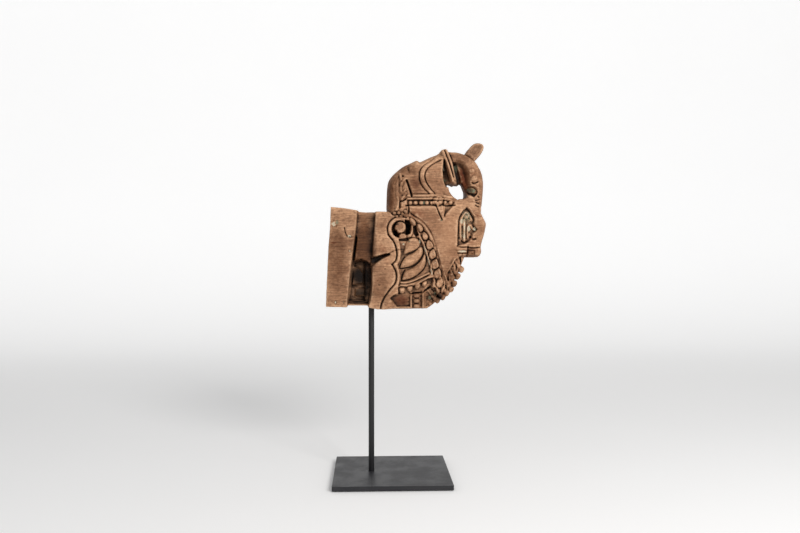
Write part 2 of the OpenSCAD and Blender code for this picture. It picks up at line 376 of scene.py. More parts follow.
class Lattice:
    """A field on a regular 3-D lattice, negative inside the solid, in millimetres."""

    def __init__(self, low: Triple, high: Triple, pitch: float) -> None:
        """Lays the lattice out.

        Args:
            low: its lowest corner.
            high: its highest corner.
            pitch: the distance between neighbours.
        """
        self.pitch = pitch
        self.low = np.array(low, float)
        counts = np.ceil((np.array(high) - self.low) / pitch).astype(int) + 1
        self.axes = [self.low[i] + pitch * np.arange(counts[i]) for i in range(3)]
        self.field = np.empty(tuple(counts), np.float32)

    def side_grid(self) -> tuple[Array, Array]:
        """x and z of the side view's grid, indexed [column, row]."""
        return tuple(np.meshgrid(self.axes[0], self.axes[2], indexing="ij"))

    def part(self, low: Triple, high: Triple) -> tuple:
        """Slices of the field between two corners, and the open coordinates in them.

        Args:
            low: lowest corner of the part.
            high: highest corner of the part.
        Returns:
            The slices, and x, y and z as arrays that broadcast together.
        """
        cut = []
        for i in range(3):
            first = int(max(0, np.floor((low[i] - self.low[i]) / self.pitch)))
            last = int(np.ceil((high[i] - self.low[i]) / self.pitch)) + 1
            cut.append(slice(first, max(first + 1, last)))
        x = self.axes[0][cut[0]][:, None, None]
        y = self.axes[1][cut[1]][None, :, None]
        z = self.axes[2][cut[2]][None, None, :]
        return tuple(cut), x, y, z

    def fill(self, depth: Array, right: Array, left: Array, edge: Array) -> None:
        """Sets the solid between the two flanks and inside the outline, with rounded edges.

        Args:
            depth: distance inside the outline, over the side view.
            right: the right flank's distance from the middle plane.
            left: the left flank's distance.
            edge: rounding of the edge between flank and outline.
        """
        y = self.axes[1].astype(np.float32)[None, :, None]
        r, l = (m.astype(np.float32)[:, None, :] for m in (right, left))
        d, k = (m.astype(np.float32)[:, None, :] for m in (depth, edge))
        side = np.where(y < 0.0, -y - r, y - l)
        self.field[:] = smooth_max(side, -d, k)

    def add(self, cut: tuple, other: Array, k: float) -> None:
        """Joins another solid on, in one part of the lattice."""
        self.field[cut] = smooth_min(self.field[cut], other, k)

    def remove(self, cut: tuple, other: Array, k: float) -> None:
        """Cuts another solid away, in one part of the lattice."""
        self.field[cut] = smooth_max(self.field[cut], -other, k)

    def capsule(self, a: Triple, b: Triple,
                radius_a: float, radius_b: float, k: float = 0.8, hollow: bool = False) -> None:
        """Joins or cuts a tapered round-ended bar: distance to its axis less the radius there.

        Args:
            a: centre of its first end.
            b: centre of its second end.
            radius_a: radius at the first end.
            radius_b: radius at the second end.
            k: size of the fillet where it joins.
            hollow: True to cut it away.
        """
        reach = max(radius_a, radius_b) + 2.0
        low = tuple(min(p, q) - reach for p, q in zip(a, b))
        high = tuple(max(p, q) + reach for p, q in zip(a, b))
        cut, x, y, z = self.part(low, high)
        step = np.subtract(b, a)
        rel = (x - a[0], y - a[1], z - a[2])
        t = np.clip(sum(r * s for r, s in zip(rel, step)) / (step @ step), 0.0, 1.0)
        gap = np.sqrt(sum((r - t * s) ** 2 for r, s in zip(rel, step)))
        (self.remove if hollow else self.add)(cut, gap - (radius_a + (radius_b - radius_a) * t), k)

    def bore(self, foot: Triple, way: Triple, length: float, radius: float, k: float = 0.15) -> None:
        """Cuts a round hole of the given length from foot along a unit direction.

        Args:
            foot: centre of the hole's end.
            way: its direction.
            length: its length.
            radius: its radius.
            k: rounding of its rim.
        """
        tip = tuple(f + length * w for f, w in zip(foot, way))
        low = tuple(min(p, q) - radius - 2.0 for p, q in zip(foot, tip))
        high = tuple(max(p, q) + radius + 2.0 for p, q in zip(foot, tip))
        cut, x, y, z = self.part(low, high)
        rel = (x - foot[0], y - foot[1], z - foot[2])
        along = sum(r * w for r, w in zip(rel, way))
        square = sum(r ** 2 for r in rel)
        across = np.sqrt(np.maximum(square - along ** 2, 0.0))
        self.remove(cut, np.maximum(across - radius, np.abs(along - length / 2) - length / 2), k)

    def unpinch(self, filled: float = -0.05, passes: int = 8) -> None:
        """Fills the air in each lattice square where wood meets wood only across its diagonal,
        so that no edge of the skin has more than two faces.

        Args:
            filled: the value of a filled corner, just inside the wood.
            passes: most rounds, as a filled corner can bring on the next one.
        """
        f = self.field
        for _ in range(passes):
            found = False
            for u, v in ((0, 1), (1, 2), (0, 2)):
                corners = []
                for du, dv in ((0, 0), (1, 0), (0, 1), (1, 1)):
                    part = [slice(None)] * 3
                    part[u] = slice(du, f.shape[u] - 1 + du)
                    part[v] = slice(dv, f.shape[v] - 1 + dv)
                    corners.append(f[tuple(part)])
                a, b, c, d = (corner < 0.0 for corner in corners)
                crossed = (a == d) & (b == c) & (a != b)
                found = found or bool(crossed.any())
                for corner in corners:
                    corner[crossed & (corner >= 0.0)] = filled
            if not found:
                return

    def skin(self) -> tuple[Array, Array]:
        """Surface nets: each lattice cell that the surface crosses gets one point, the mean of
        the crossings on its edges, and each crossed edge gets a quad between its four cells.

        Returns:
            Points in millimetres, and quads that face outwards.
        """
        f = self.field
        inside = f < 0.0
        corners = list(itertools.product((0, 1), repeat=3))
        count = np.zeros(tuple(n - 1 for n in f.shape), np.uint8)
        for c in corners:
            count += inside[tuple(slice(o, o + n) for o, n in zip(c, count.shape))]
        cells = np.argwhere((count > 0) & (count < 8))
        number = np.full(count.shape, -1, np.int32)
        number[tuple(cells.T)] = np.arange(len(cells), dtype=np.int32)
        total = np.zeros((len(cells), 3))
        hits = np.zeros(len(cells))
        for c in corners:
            for axis in (i for i in range(3) if c[i] == 0):
                start = cells + c
                end = start.copy()
                end[:, axis] += 1
                f0, f1 = f[tuple(start.T)], f[tuple(end.T)]
                crossed = (f0 < 0.0) != (f1 < 0.0)
                share = np.where(crossed, f0 / np.where(crossed, f0 - f1, 1.0), 0.0)
                place = np.array(c, float) + np.zeros((len(cells), 3))
                place[:, axis] += share
                total += place * crossed[:, None]
                hits += crossed
        points = self.low + self.pitch * (cells + total / hits[:, None])
        quads = [self._quads(inside, number, axis) for axis in range(3)]
        return points, np.vstack(quads)

    @staticmethod
    def _quads(inside: Array, number: Array, axis: int) -> Array:
        """Quads around the crossed edges that run along one axis.

        Args:
            inside: True where the lattice is in the wood.
            number: each cell's point.
            axis: the axis that the edges run along.
        Returns:
            Point numbers, four to a row.
        """
        first = [slice(1, -1)] * 3
        second = [slice(1, -1)] * 3
        first[axis], second[axis] = slice(0, -1), slice(1, None)
        a, b = inside[tuple(first)], inside[tuple(second)]
        edges = np.argwhere(a != b)
        leaving = a[tuple(edges.T)]
        base = edges + 1
        base[:, axis] -= 1
        u, v = (axis + 1) % 3, (axis + 2) % 3
        ring = []
        for du, dv in ((-1, -1), (0, -1), (0, 0), (-1, 0)):
            cell = base.copy()
            cell[:, u] += du
            cell[:, v] += dv
            ring.append(number[tuple(cell.T)])
        quad = np.stack(ring, 1)
        return np.where(leaving[:, None], quad, quad[:, ::-1])

    def crowding(self, points: Array, radius: float) -> Array:
        """How much wood stands round each point: the share of a cube of that radius that is
        solid, from running sums along each axis. Half on a flat face, more in a hollow.

        Args:
            points: places in millimetres.
            radius: half the cube's side.
        Returns:
            Shares from 0 to 1.
        """
        reach = max(1, int(round(radius / self.pitch)))
        share = (self.field < 0.0).astype(np.float32)
        for axis in range(3):
            pad = [(0, 0)] * 3
            pad[axis] = (reach + 1, reach)
            run = np.cumsum(np.pad(share, pad), axis=axis, dtype=np.float32)
            n = share.shape[axis]
            ahead = np.take(run, np.arange(n) + 2 * reach + 1, axis=axis)
            behind = np.take(run, np.arange(n), axis=axis)
            share = (ahead - behind) / (2 * reach + 1)
        index = np.rint((points - self.low) / self.pitch).astype(int)
        index = np.clip(index, 0, np.array(share.shape) - 1)
        return share[tuple(index.T)]


# ---- meshes ----


def largest_shell(points: Array, quads: Array) -> tuple[Array, Array]:
    """Drops the skins of closed pockets. Each point takes the lowest number near it, round
    after round, until every shell has one number, and the commonest number stays.

    Args:
        points: the places.
        quads: the faces, as point numbers.
    Returns:
        The points and faces of the largest shell.
    """
    label = np.arange(len(points))
    while True:
        low = label.copy()
        np.minimum.at(low, quads, label[quads].min(1)[:, None])
        low = low[low]
        if np.array_equal(low, label):
            break
        label = low
    keep = label == np.bincount(label).argmax()
    number = np.cumsum(keep) - 1
    return points[keep], number[quads[keep[quads[:, 0]]]]


def mesh_object(name: str, points: Array, faces: Array) -> bpy.types.Object:
    """Makes a smooth-shaded mesh object from whole arrays.

    Args:
        name: the object's name.
        points: places in metres.
        faces: corner numbers, one row for each face.
    Returns:
        The object, linked into the scene at the origin.
    """
    mesh = bpy.data.meshes.new(name)
    sides = faces.shape[1]
    mesh.vertices.add(len(points))
    mesh.vertices.foreach_set("co", np.ascontiguousarray(points, np.float32).ravel())
    mesh.loops.add(faces.size)
    mesh.loops.foreach_set("vertex_index", np.ascontiguousarray(faces, np.int32).ravel())
    mesh.polygons.add(len(faces))
    mesh.polygons.foreach_set("loop_start", np.arange(0, faces.size, sides, dtype=np.int32))
    mesh.polygons.foreach_set("use_smooth", np.ones(len(faces), bool))
    mesh.update(calc_edges=True)
    mesh.validate()
    obj = bpy.data.objects.new(name, mesh)
    bpy.context.scene.collection.objects.link(obj)
    return obj


def points_of(mesh: bpy.types.Mesh) -> Array:
    """The mesh's points in metres, one row each.

    Args:
        mesh: the mesh.
    Returns:
        Places, as floats.
    """
    flat = np.empty(len(mesh.vertices) * 3, np.float32)
    mesh.vertices.foreach_get("co", flat)
    return flat.reshape(-1, 3).astype(float)


def normals_of(mesh: bpy.types.Mesh) -> Array:
    """The normals at the mesh's points, one row each.

    Args:
        mesh: the mesh.
    Returns:
        Directions of length 1.
    """
    flat = np.empty(len(mesh.vertices) * 3, np.float32)
    mesh.vertex_normals.foreach_get("vector", flat)
    return flat.reshape(-1, 3).astype(float)


def apply_modifiers(obj: bpy.types.Object) -> None:
    """Puts the result of the object's modifiers in its mesh and takes them off.

    Args:
        obj: the object.
    """
    graph = bpy.context.evaluated_depsgraph_get()
    made = bpy.data.meshes.new_from_object(obj.evaluated_get(graph))
    old = obj.data
    obj.modifiers.clear()
    obj.data = made
    bpy.data.meshes.remove(old)
    made.name = obj.name


def thin(obj: bpy.types.Object, most: int) -> None:
    """Collapses edges until the mesh has at most that many triangles.

    Args:
        obj: the object.
        most: most triangles that may stay.
    """
    triangles = sum(len(p.vertices) - 2 for p in obj.data.polygons)
    if triangles > most:
        modifier = obj.modifiers.new("thin", "DECIMATE")
        modifier.ratio = most / triangles
        apply_modifiers(obj)


def set_attribute(mesh: bpy.types.Mesh, name: str, values: Array) -> None:
    """Stores one number for each point under a name that a material can read."""
    attribute = mesh.attributes.new(name, "FLOAT", "POINT")
    attribute.data.foreach_set("value", np.ascontiguousarray(values, np.float32))


def dress(obj: bpy.types.Object, material: bpy.types.Material) -> None:
    """Gives the whole object one material.

    Args:
        obj: the object.
        material: its new material.
    """
    if obj.material_slots:
        for slot in obj.material_slots:
            slot.material = material
    else:
        obj.data.materials.append(material)


# ---- node groups ----


class Nodes:
    """A short way to add nodes to a tree and join them."""

    def __init__(self, tree: bpy.types.NodeTree) -> None:
        """Works on the given tree."""
        self.tree = tree

    def add(self, kind: str, **values: object) -> bpy.types.Node:
        """Adds a node, sets its properties, and its inputs by name or number.

        Args:
            kind: the node's type name.
            values: properties; a name that starts with "in_" is an input by its number.
        Returns:
            The node.
        """
        node = self.tree.nodes.new(kind)
        for key, value in values.items():
            if key.startswith("in_"):
                self._feed(node.inputs[int(key[3:])], value)
            else:
                setattr(node, key, value)
        return node

    def _feed(self, socket: bpy.types.NodeSocket, value: object) -> None:
        """Links a socket to a socket, or sets it to a plain value.

        Args:
            socket: the input.
            value: another node's output, or a constant.
        """
        if isinstance(value, bpy.types.NodeSocket):
            self.tree.links.new(value, socket)
        else:
            socket.default_value = value

    def math(self, operation: str, a: object, b: object = 0.0, clamp: bool = False) -> Socket:
        """Result of a Math node."""
        node = self.add("ShaderNodeMath", operation=operation, use_clamp=clamp, in_0=a, in_1=b)
        return node.outputs[0]

    def mix(self, share: object, a: object, b: object, blend: str = "MIX") -> Socket:
        """Colour mixed from a to b by the share.

        Args:
            share: share of b.
            a: first colour.
            b: second colour.
            blend: the blend mode.
        Returns:
            The colour.
        """
        node = self.tree.nodes.new("ShaderNodeMix")
        node.data_type = "RGBA"
        node.blend_type = blend
        for name, value in (("Factor_Float", share), ("A_Color", a), ("B_Color", b)):
            socket = next(s for s in node.inputs if s.identifier == name)
            self._feed(socket, value)
        return next(s for s in node.outputs if s.identifier == "Result_Color")

    def span(self, value: object, low: float, high: float) -> Socket:
        """Value mapped so that low gives 0 and high gives 1, limited to that."""
        node = self.add("ShaderNodeMapRange", interpolation_type="SMOOTHSTEP",
                        in_0=value, in_1=low, in_2=high)
        return node.outputs[0]

    def noise(self, vector: object, scale: float, detail: float = 3.0, rough: float = 0.55,
              twist: float = 0.0) -> Socket:
        """Noise from 0 to 1 at a scale in features for each unit of the vector.

        Args:
            vector: where to read it.
            scale: features for each unit.
            detail: finer layers.
            rough: weight of the finer layers.
            twist: distortion.
        Returns:
            The noise.
        """
        node = self.tree.nodes.new("ShaderNodeTexNoise")
        self._feed(node.inputs["Vector"], vector)
        for name, value in (("Scale", scale), ("Detail", detail), ("Roughness", rough),
                            ("Distortion", twist)):
            self._feed(node.inputs[name], value)
        return node.outputs["Fac"]

    def stretch(self, vector: object, scale: Triple, place: Triple = (0.0, 0.0, 0.0)) -> Socket:
        """The vector scaled along each axis by a Mapping node.

        Args:
            vector: the coordinates.
            scale: factor along each axis.
            place: shift along each axis.
        Returns:
            The new coordinates.
        """
        node = self.add("ShaderNodeMapping", in_0=vector)
        node.inputs["Scale"].default_value = scale
        node.inputs["Location"].default_value = place
        return node.outputs[0]


def new_group(name: str, inputs: dict[str, float], outputs: list[str]) -> tuple:
    """Starts a shader node group of number sockets.

    Args:
        name: the group's name.
        inputs: names and first values of its inputs.
        outputs: names of its outputs.
    Returns:
        The group, its Nodes helper, its input node and its output node.
    """
    tree = bpy.data.node_groups.new(name, "ShaderNodeTree")
    for key, value in inputs.items():
        kind = "NodeSocketVector" if key == "Place" else "NodeSocketFloat"
        socket = tree.interface.new_socket(key, in_out="INPUT", socket_type=kind)
        if kind == "NodeSocketFloat":
            socket.default_value = value
    for key in outputs:
        tree.interface.new_socket(key, in_out="OUTPUT", socket_type="NodeSocketFloat")
    nodes = Nodes(tree)
    return tree, nodes, nodes.add("NodeGroupInput"), nodes.add("NodeGroupOutput")


def grain_group() -> bpy.types.NodeTree:
    """Wood grain along x: growth rings round an axis under the block, long fibres, open pores
    and a slow change of tone.

    Returns:
        A group with Tone, Rings, Fibre, Pores and Height from 0 to 1.
    """
    tree, n, start, end = new_group(
        "wood_grain", {"Place": 0.0, "Ring Width": 0.0035, "Waviness": 0.006},
        ["Tone", "Rings", "Fibre", "Pores", "Height"])
    place = start.outputs["Place"]
    bend = n.noise(n.stretch(place, (9.0, 22.0, 22.0)), 1.0, 2.0)
    parts = n.add("ShaderNodeSeparateXYZ", in_0=place)
    y = n.math("ADD", parts.outputs[1], 0.024)
    z = n.math("SUBTRACT", parts.outputs[2], 0.205)
    radius = n.math("SQRT", n.math("ADD", n.math("MULTIPLY", y, y), n.math("MULTIPLY", z, z)))
    sway = n.math("MULTIPLY", bend, n.math("MULTIPLY", start.outputs["Waviness"], 5.0))
    turns = n.math("DIVIDE", n.math("ADD", radius, sway), start.outputs["Ring Width"])
    rings = n.math("PINGPONG", turns, 0.5)
    rings = n.math("MULTIPLY", rings, 2.0)
    fibre = n.noise(n.stretch(place, (55.0, 1150.0, 1150.0)), 1.0, 4.0, 0.6)
    pores = n.noise(n.stretch(place, (150.0, 1500.0, 1500.0), (3.0, 1.0, 2.0)), 1.0, 2.0, 0.5)
    pore_mask = n.span(pores, 0.62, 0.72)
    tone = n.noise(n.stretch(place, (14.0, 42.0, 42.0), (1.0, 4.0, 7.0)), 1.0, 4.0, 0.6)
    height = n.math("SUBTRACT", n.math("MULTIPLY", fibre, 0.7), n.math("MULTIPLY", pore_mask, 0.5))
    height = n.math("ADD", height, n.math("MULTIPLY", rings, 0.25))
    for name, socket in (("Tone", n.span(tone, 0.28, 0.72)), ("Rings", rings), ("Fibre", fibre),
                         ("Pores", pore_mask), ("Height", height)):
        tree.links.new(socket, end.inputs[name])
    return tree


def wear_and_shade_group() -> bpy.types.NodeTree:
    """Darkening in hollows, partly dirt and partly painted shade, and polish that shows on edges, both broken
    up by noise.

    Returns:
        A group with outputs for dirt and painted shade in hollows, for rubbed edges and for mottle, each from
        0 to 1.
    """
    tree, n, start, end = new_group(
        "age_wear", {"Place": 0.0, "Crowding": 0.5, "Dirt Amount": 1.0, "Rub Amount": 1.0,
                     "Spot Size": 0.004},
        ["Dirt", "Rub", "Mottle"])
    scale = n.math("DIVIDE", 1.0, start.outputs["Spot Size"])
    patchy = n.noise(start.outputs["Place"], scale, 4.0, 0.65)
    crowd = start.outputs["Crowding"]
    drift = n.math("MULTIPLY", n.math("SUBTRACT", patchy, 0.5), 0.16)
    # dark where much wood crowds round a point: partly dirt, partly painted shade in the hollows
    dirt = n.span(n.math("ADD", crowd, drift), 0.52, 0.74)
    rub = n.span(n.math("ADD", crowd, drift), 0.46, 0.33)
    mottle = n.span(patchy, 0.35, 0.68)
    for name, socket in (("Dirt", n.math("MULTIPLY", dirt, start.outputs["Dirt Amount"])),
                         ("Rub", n.math("MULTIPLY", rub, start.outputs["Rub Amount"])),
                         ("Mottle", mottle)):
        tree.links.new(socket, end.inputs[name])
    return tree


def place_group(n: Nodes, tree: bpy.types.NodeTree, **values: object) -> bpy.types.Node:
    """Puts a node group in a material.

    Args:
        n: the material's Nodes helper.
        tree: the group.
        values: input values, with "_" for a space in a name.
    Returns:
        The group's node.
    """
    node = n.add("ShaderNodeGroup", node_tree=tree)
    for key, value in values.items():
        n._feed(node.inputs[key.replace("_", " ")], value)
    return node


# ---- finishes ----

Colour = Triple


def rgba(colour: Colour) -> tuple[float, float, float, float]:
    """Linear colour of an 8-bit display colour.

    Args:
        colour: red, green and blue from 0 to 255.
    Returns:
        The linear colour with alpha 1.
    """
    c = np.array(colour) / 255.0
    linear = np.where(c <= 0.04045, c / 12.92, ((c + 0.055) / 1.055) ** 2.4)
    return (*linear.tolist(), 1.0)


def start_material(name: str) -> tuple[bpy.types.Material, Nodes, bpy.types.Node]:
    """A new material with its helper and its Principled BSDF.

    Args:
        name: its name.
    Returns:
        The material, its Nodes helper and its shader.
    """
    material = bpy.data.materials.new(name)
    material.use_nodes = True
    nodes = Nodes(material.node_tree)
    return material, nodes, material.node_tree.nodes["Principled BSDF"]


def add_bump(n: Nodes, shader: bpy.types.Node, height: object, depth: float, strength: float) -> None:
    """Feeds a height to the shader's normal.

    Args:
        n: the material's Nodes helper.
        shader: its shader.
        height: the relief, 0 to 1.
        depth: its depth in metres.
        strength: share of the effect.
    """
    bump = n.add("ShaderNodeBump")
    bump.inputs["Strength"].default_value = strength
    bump.inputs["Distance"].default_value = depth
    n.tree.links.new(height, bump.inputs["Height"])
    n.tree.links.new(bump.outputs[0], shader.inputs["Normal"])


@dataclass(frozen=True)
class AgedWood:
    """Old hard wood, once painted, with dirt and painted shade in its hollows, painted shade on some faces,
    pale traces of pigment and a few painted highlights.
    """

    name: str
    light: Colour = (206, 160, 123)
    middle: Colour = (153, 110, 80)
    dark: Colour = (98, 66, 47)
    # near black: dirt in the pores, and dirt with painted shade in the hollows
    dirt: Colour = (22, 12, 6)
    rub: Colour = (222, 180, 144)
    # multiplied in: a darker old surface in places, and painted shade on faces turned from the light and in
    # the cross groove
    patina: Colour = (160, 140, 123)
    rust: Colour = (108, 50, 22)
    # pale pigment, also laid on as painted highlights on the buds
    cream: Colour = (200, 190, 166)
    verdigris: Colour = (108, 112, 90)
    # near black: painted shade in the mortise, the cross groove and other deep hollows
    soot: Colour = (6, 3, 2)
    bare: Colour = (166, 122, 90)

    def build(self, grain: bpy.types.NodeTree, wear: bpy.types.NodeTree) -> bpy.types.Material:
        """Mixes wood tone, rings, dirt with painted shade, rubbed edges and stains, in that order; some
        stains are painted shade or painted highlights.

        Args:
            grain: the grain group.
            wear: the group of wear, dirt and painted shade.
        Returns:
            The material.
        """
        material, n, shader = start_material(self.name)
        place = n.add("ShaderNodeTexCoord").outputs["Object"]
        near = n.add("ShaderNodeAttribute", attribute_name="crowding_fine").outputs["Fac"]
        wide = n.add("ShaderNodeAttribute", attribute_name="crowding_wide").outputs["Fac"]
        g = place_group(n, grain, Place=place)
        w = place_group(n, wear, Place=place, Crowding=near)
        deep = place_group(n, wear, Place=place, Crowding=wide, Spot_Size=0.012)
        colour = n.mix(g.outputs["Tone"], rgba(self.middle), rgba(self.light))
        streak = n.span(g.outputs["Fibre"], 0.40, 0.66)
        colour = n.mix(n.math("MULTIPLY", streak, 0.5), colour, rgba(self.dark))
        ring = n.span(g.outputs["Rings"], 0.55, 0.95)
        colour = n.mix(n.math("MULTIPLY", ring, 0.22), colour, rgba(self.dark))
        colour = n.mix(n.math("MULTIPLY", w.outputs["Mottle"], 0.42), colour, rgba(self.dark))
        colour = n.mix(n.math("MULTIPLY", g.outputs["Pores"], 0.55), colour, rgba(self.dirt))
        stains = {s: n.add("ShaderNodeAttribute", attribute_name=s.value).outputs["Fac"] for s in Stain}
        colour = n.mix(n.math("MULTIPLY", stains[Stain.BARE], 0.55, True), colour, rgba(self.bare))
        colour = n.mix(n.math("MULTIPLY", stains[Stain.RUST], 0.75, True), colour, rgba(self.rust))
        colour = n.mix(n.math("MULTIPLY", w.outputs["Rub"], 0.42), colour, rgba(self.rub))
        # darker patches, partly a darker old surface and partly painted shade, multiplied in
        cloud = n.math("ADD", 0.72, n.math("MULTIPLY", deep.outputs["Mottle"], 0.42))
        colour = n.mix(n.math("MULTIPLY", stains[Stain.PATINA], cloud, True), colour, rgba(self.patina),
                       "MULTIPLY")
        # dirt and painted shade: darker in wide hollows, then near black in narrow ones
        colour = n.mix(n.math("MULTIPLY", deep.outputs["Dirt"], 0.7), colour, rgba(self.dirt))
        colour = n.mix(n.math("MULTIPLY", w.outputs["Dirt"], 0.93), colour, rgba(self.dirt))
        flakes = n.noise(place, 650.0, 3.0, 0.7)
        # pale pigment and green remains; the pale one also makes painted highlights on the buds
        for stain, tint in ((Stain.VERDIGRIS, self.verdigris), (Stain.CREAM, self.cream)):
            left = n.span(n.math("ADD", stains[stain], n.math("MULTIPLY", flakes, 1.5)), 1.20, 1.50)
            colour = n.mix(n.math("MULTIPLY", left, 0.85), colour, rgba(tint))
        # painted shade: deep hollows turned near black
        colour = n.mix(n.math("MULTIPLY", stains[Stain.SOOT], 0.97, True), colour, rgba(self.soot))
        n.tree.links.new(colour, shader.inputs["Base Color"])
        rough = n.math("ADD", 0.60, n.math("MULTIPLY", w.outputs["Dirt"], 0.25))
        rough = n.math("SUBTRACT", rough, n.math("MULTIPLY", w.outputs["Rub"], 0.12))
        n.tree.links.new(rough, shader.inputs["Roughness"])
        shader.inputs["Specular IOR Level"].default_value = 0.16
        grit = n.math("MULTIPLY", n.noise(place, 900.0, 3.0, 0.6), 0.5)
        add_bump(n, shader, n.math("ADD", g.outputs["Height"], grit), 0.0007, 0.75)
        return material


@dataclass(frozen=True)
class CoatedSteel:
    """Steel with a dark coat: fine orange peel, dust, and a thinner coat here and there."""

    name: str
    coat: Colour = (38, 38, 39)
    dust: Colour = (82, 80, 78)
    rough: float = 0.42
    peel: float = 1400.0
    brushed: bool = False

    def build(self, wear: bpy.types.NodeTree) -> bpy.types.Material:
        """Mixes the coat and its dust over a fine bump.

        Args:
            wear: the group of wear, dirt and painted shade.
        Returns:
            The material.
        """
        material, n, shader = start_material(self.name)
        place = n.add("ShaderNodeTexCoord").outputs["Object"]
        w = place_group(n, wear, Place=place, Crowding=0.5, Spot_Size=0.03)
        fine = n.noise(place, self.peel, 2.0, 0.5)
        along = n.noise(n.stretch(place, (900.0, 900.0, 30.0)), 1.0, 3.0)
        share = n.math("MULTIPLY", w.outputs["Mottle"], 0.22)
        if self.brushed:
            share = n.math("ADD", share, n.math("MULTIPLY", along, 0.25))
        specks = n.span(n.noise(place, 420.0, 2.0, 0.5), 0.70, 0.76)
        share = n.math("ADD", share, n.math("MULTIPLY", specks, 0.25), True)
        n.tree.links.new(n.mix(share, rgba(self.coat), rgba(self.dust)), shader.inputs["Base Color"])
        rough = n.math("ADD", self.rough, n.math("MULTIPLY", w.outputs["Mottle"], 0.12))
        n.tree.links.new(rough, shader.inputs["Roughness"])
        shader.inputs["Specular IOR Level"].default_value = 0.42
        add_bump(n, shader, fine, 0.00012, 0.5)
        return material


@dataclass(frozen=True)
class BareMetal:
    """Turned metal with faint tool rings and some tarnish."""

    name: str
    metal: Colour
    tarnish: Colour
    rough: float = 0.35

    def build(self, wear: bpy.types.NodeTree) -> bpy.types.Material:
        """Mixes metal and tarnish over fine turning marks.

        Args:
            wear: the group of wear, dirt and painted shade.
        Returns:
            The material.
        """
        material, n, shader = start_material(self.name)
        place = n.add("ShaderNodeTexCoord").outputs["Object"]
        w = place_group(n, wear, Place=place, Crowding=0.5, Spot_Size=0.006)
        shade = n.mix(n.math("MULTIPLY", w.outputs["Mottle"], 0.6), rgba(self.metal), rgba(self.tarnish))
        n.tree.links.new(shade, shader.inputs["Base Color"])
        shader.inputs["Metallic"].default_value = 1.0
        rough = n.math("ADD", self.rough, n.math("MULTIPLY", w.outputs["Mottle"], 0.2))
        n.tree.links.new(rough, shader.inputs["Roughness"])
        rings = n.noise(n.stretch(place, (60.0, 60.0, 3000.0)), 1.0, 2.0)
        add_bump(n, shader, rings, 0.00008, 0.4)
        return material


@dataclass(frozen=True)
class Felt:
    """Pressed wool felt: short tangled fibres."""

    name: str
    light: Colour = (58, 58, 60)
    dark: Colour = (30, 30, 32)

    def build(self) -> bpy.types.Material:
        """Mixes two greys by a tangle of fine noise.

        Returns:
            The material.
        """
        material, n, shader = start_material(self.name)
        place = n.add("ShaderNodeTexCoord").outputs["Object"]
        tangle = n.noise(place, 1800.0, 4.0, 0.7, 1.5)
        n.tree.links.new(n.mix(tangle, rgba(self.dark), rgba(self.light)), shader.inputs["Base Color"])
        shader.inputs["Roughness"].default_value = 0.95
        shader.inputs["Sheen Weight"].default_value = 0.3
        add_bump(n, shader, tangle, 0.0004, 0.8)
        return material


# ---- the carving ----


def ring_of(x: float, z: float, radius: float, first: float = 0.0, last: float = 360.0) -> Points:
    """Points on a circle from one angle to another, in degrees from the horse's front."""
    turns = np.radians(np.linspace(first, last, max(6, int(abs(last - first) / 12))))
    return [(x + radius * math.cos(t), z + radius * math.sin(t)) for t in turns]


G, R, S = Cut.GROOVE, Cut.ROLL, Cut.STRAP


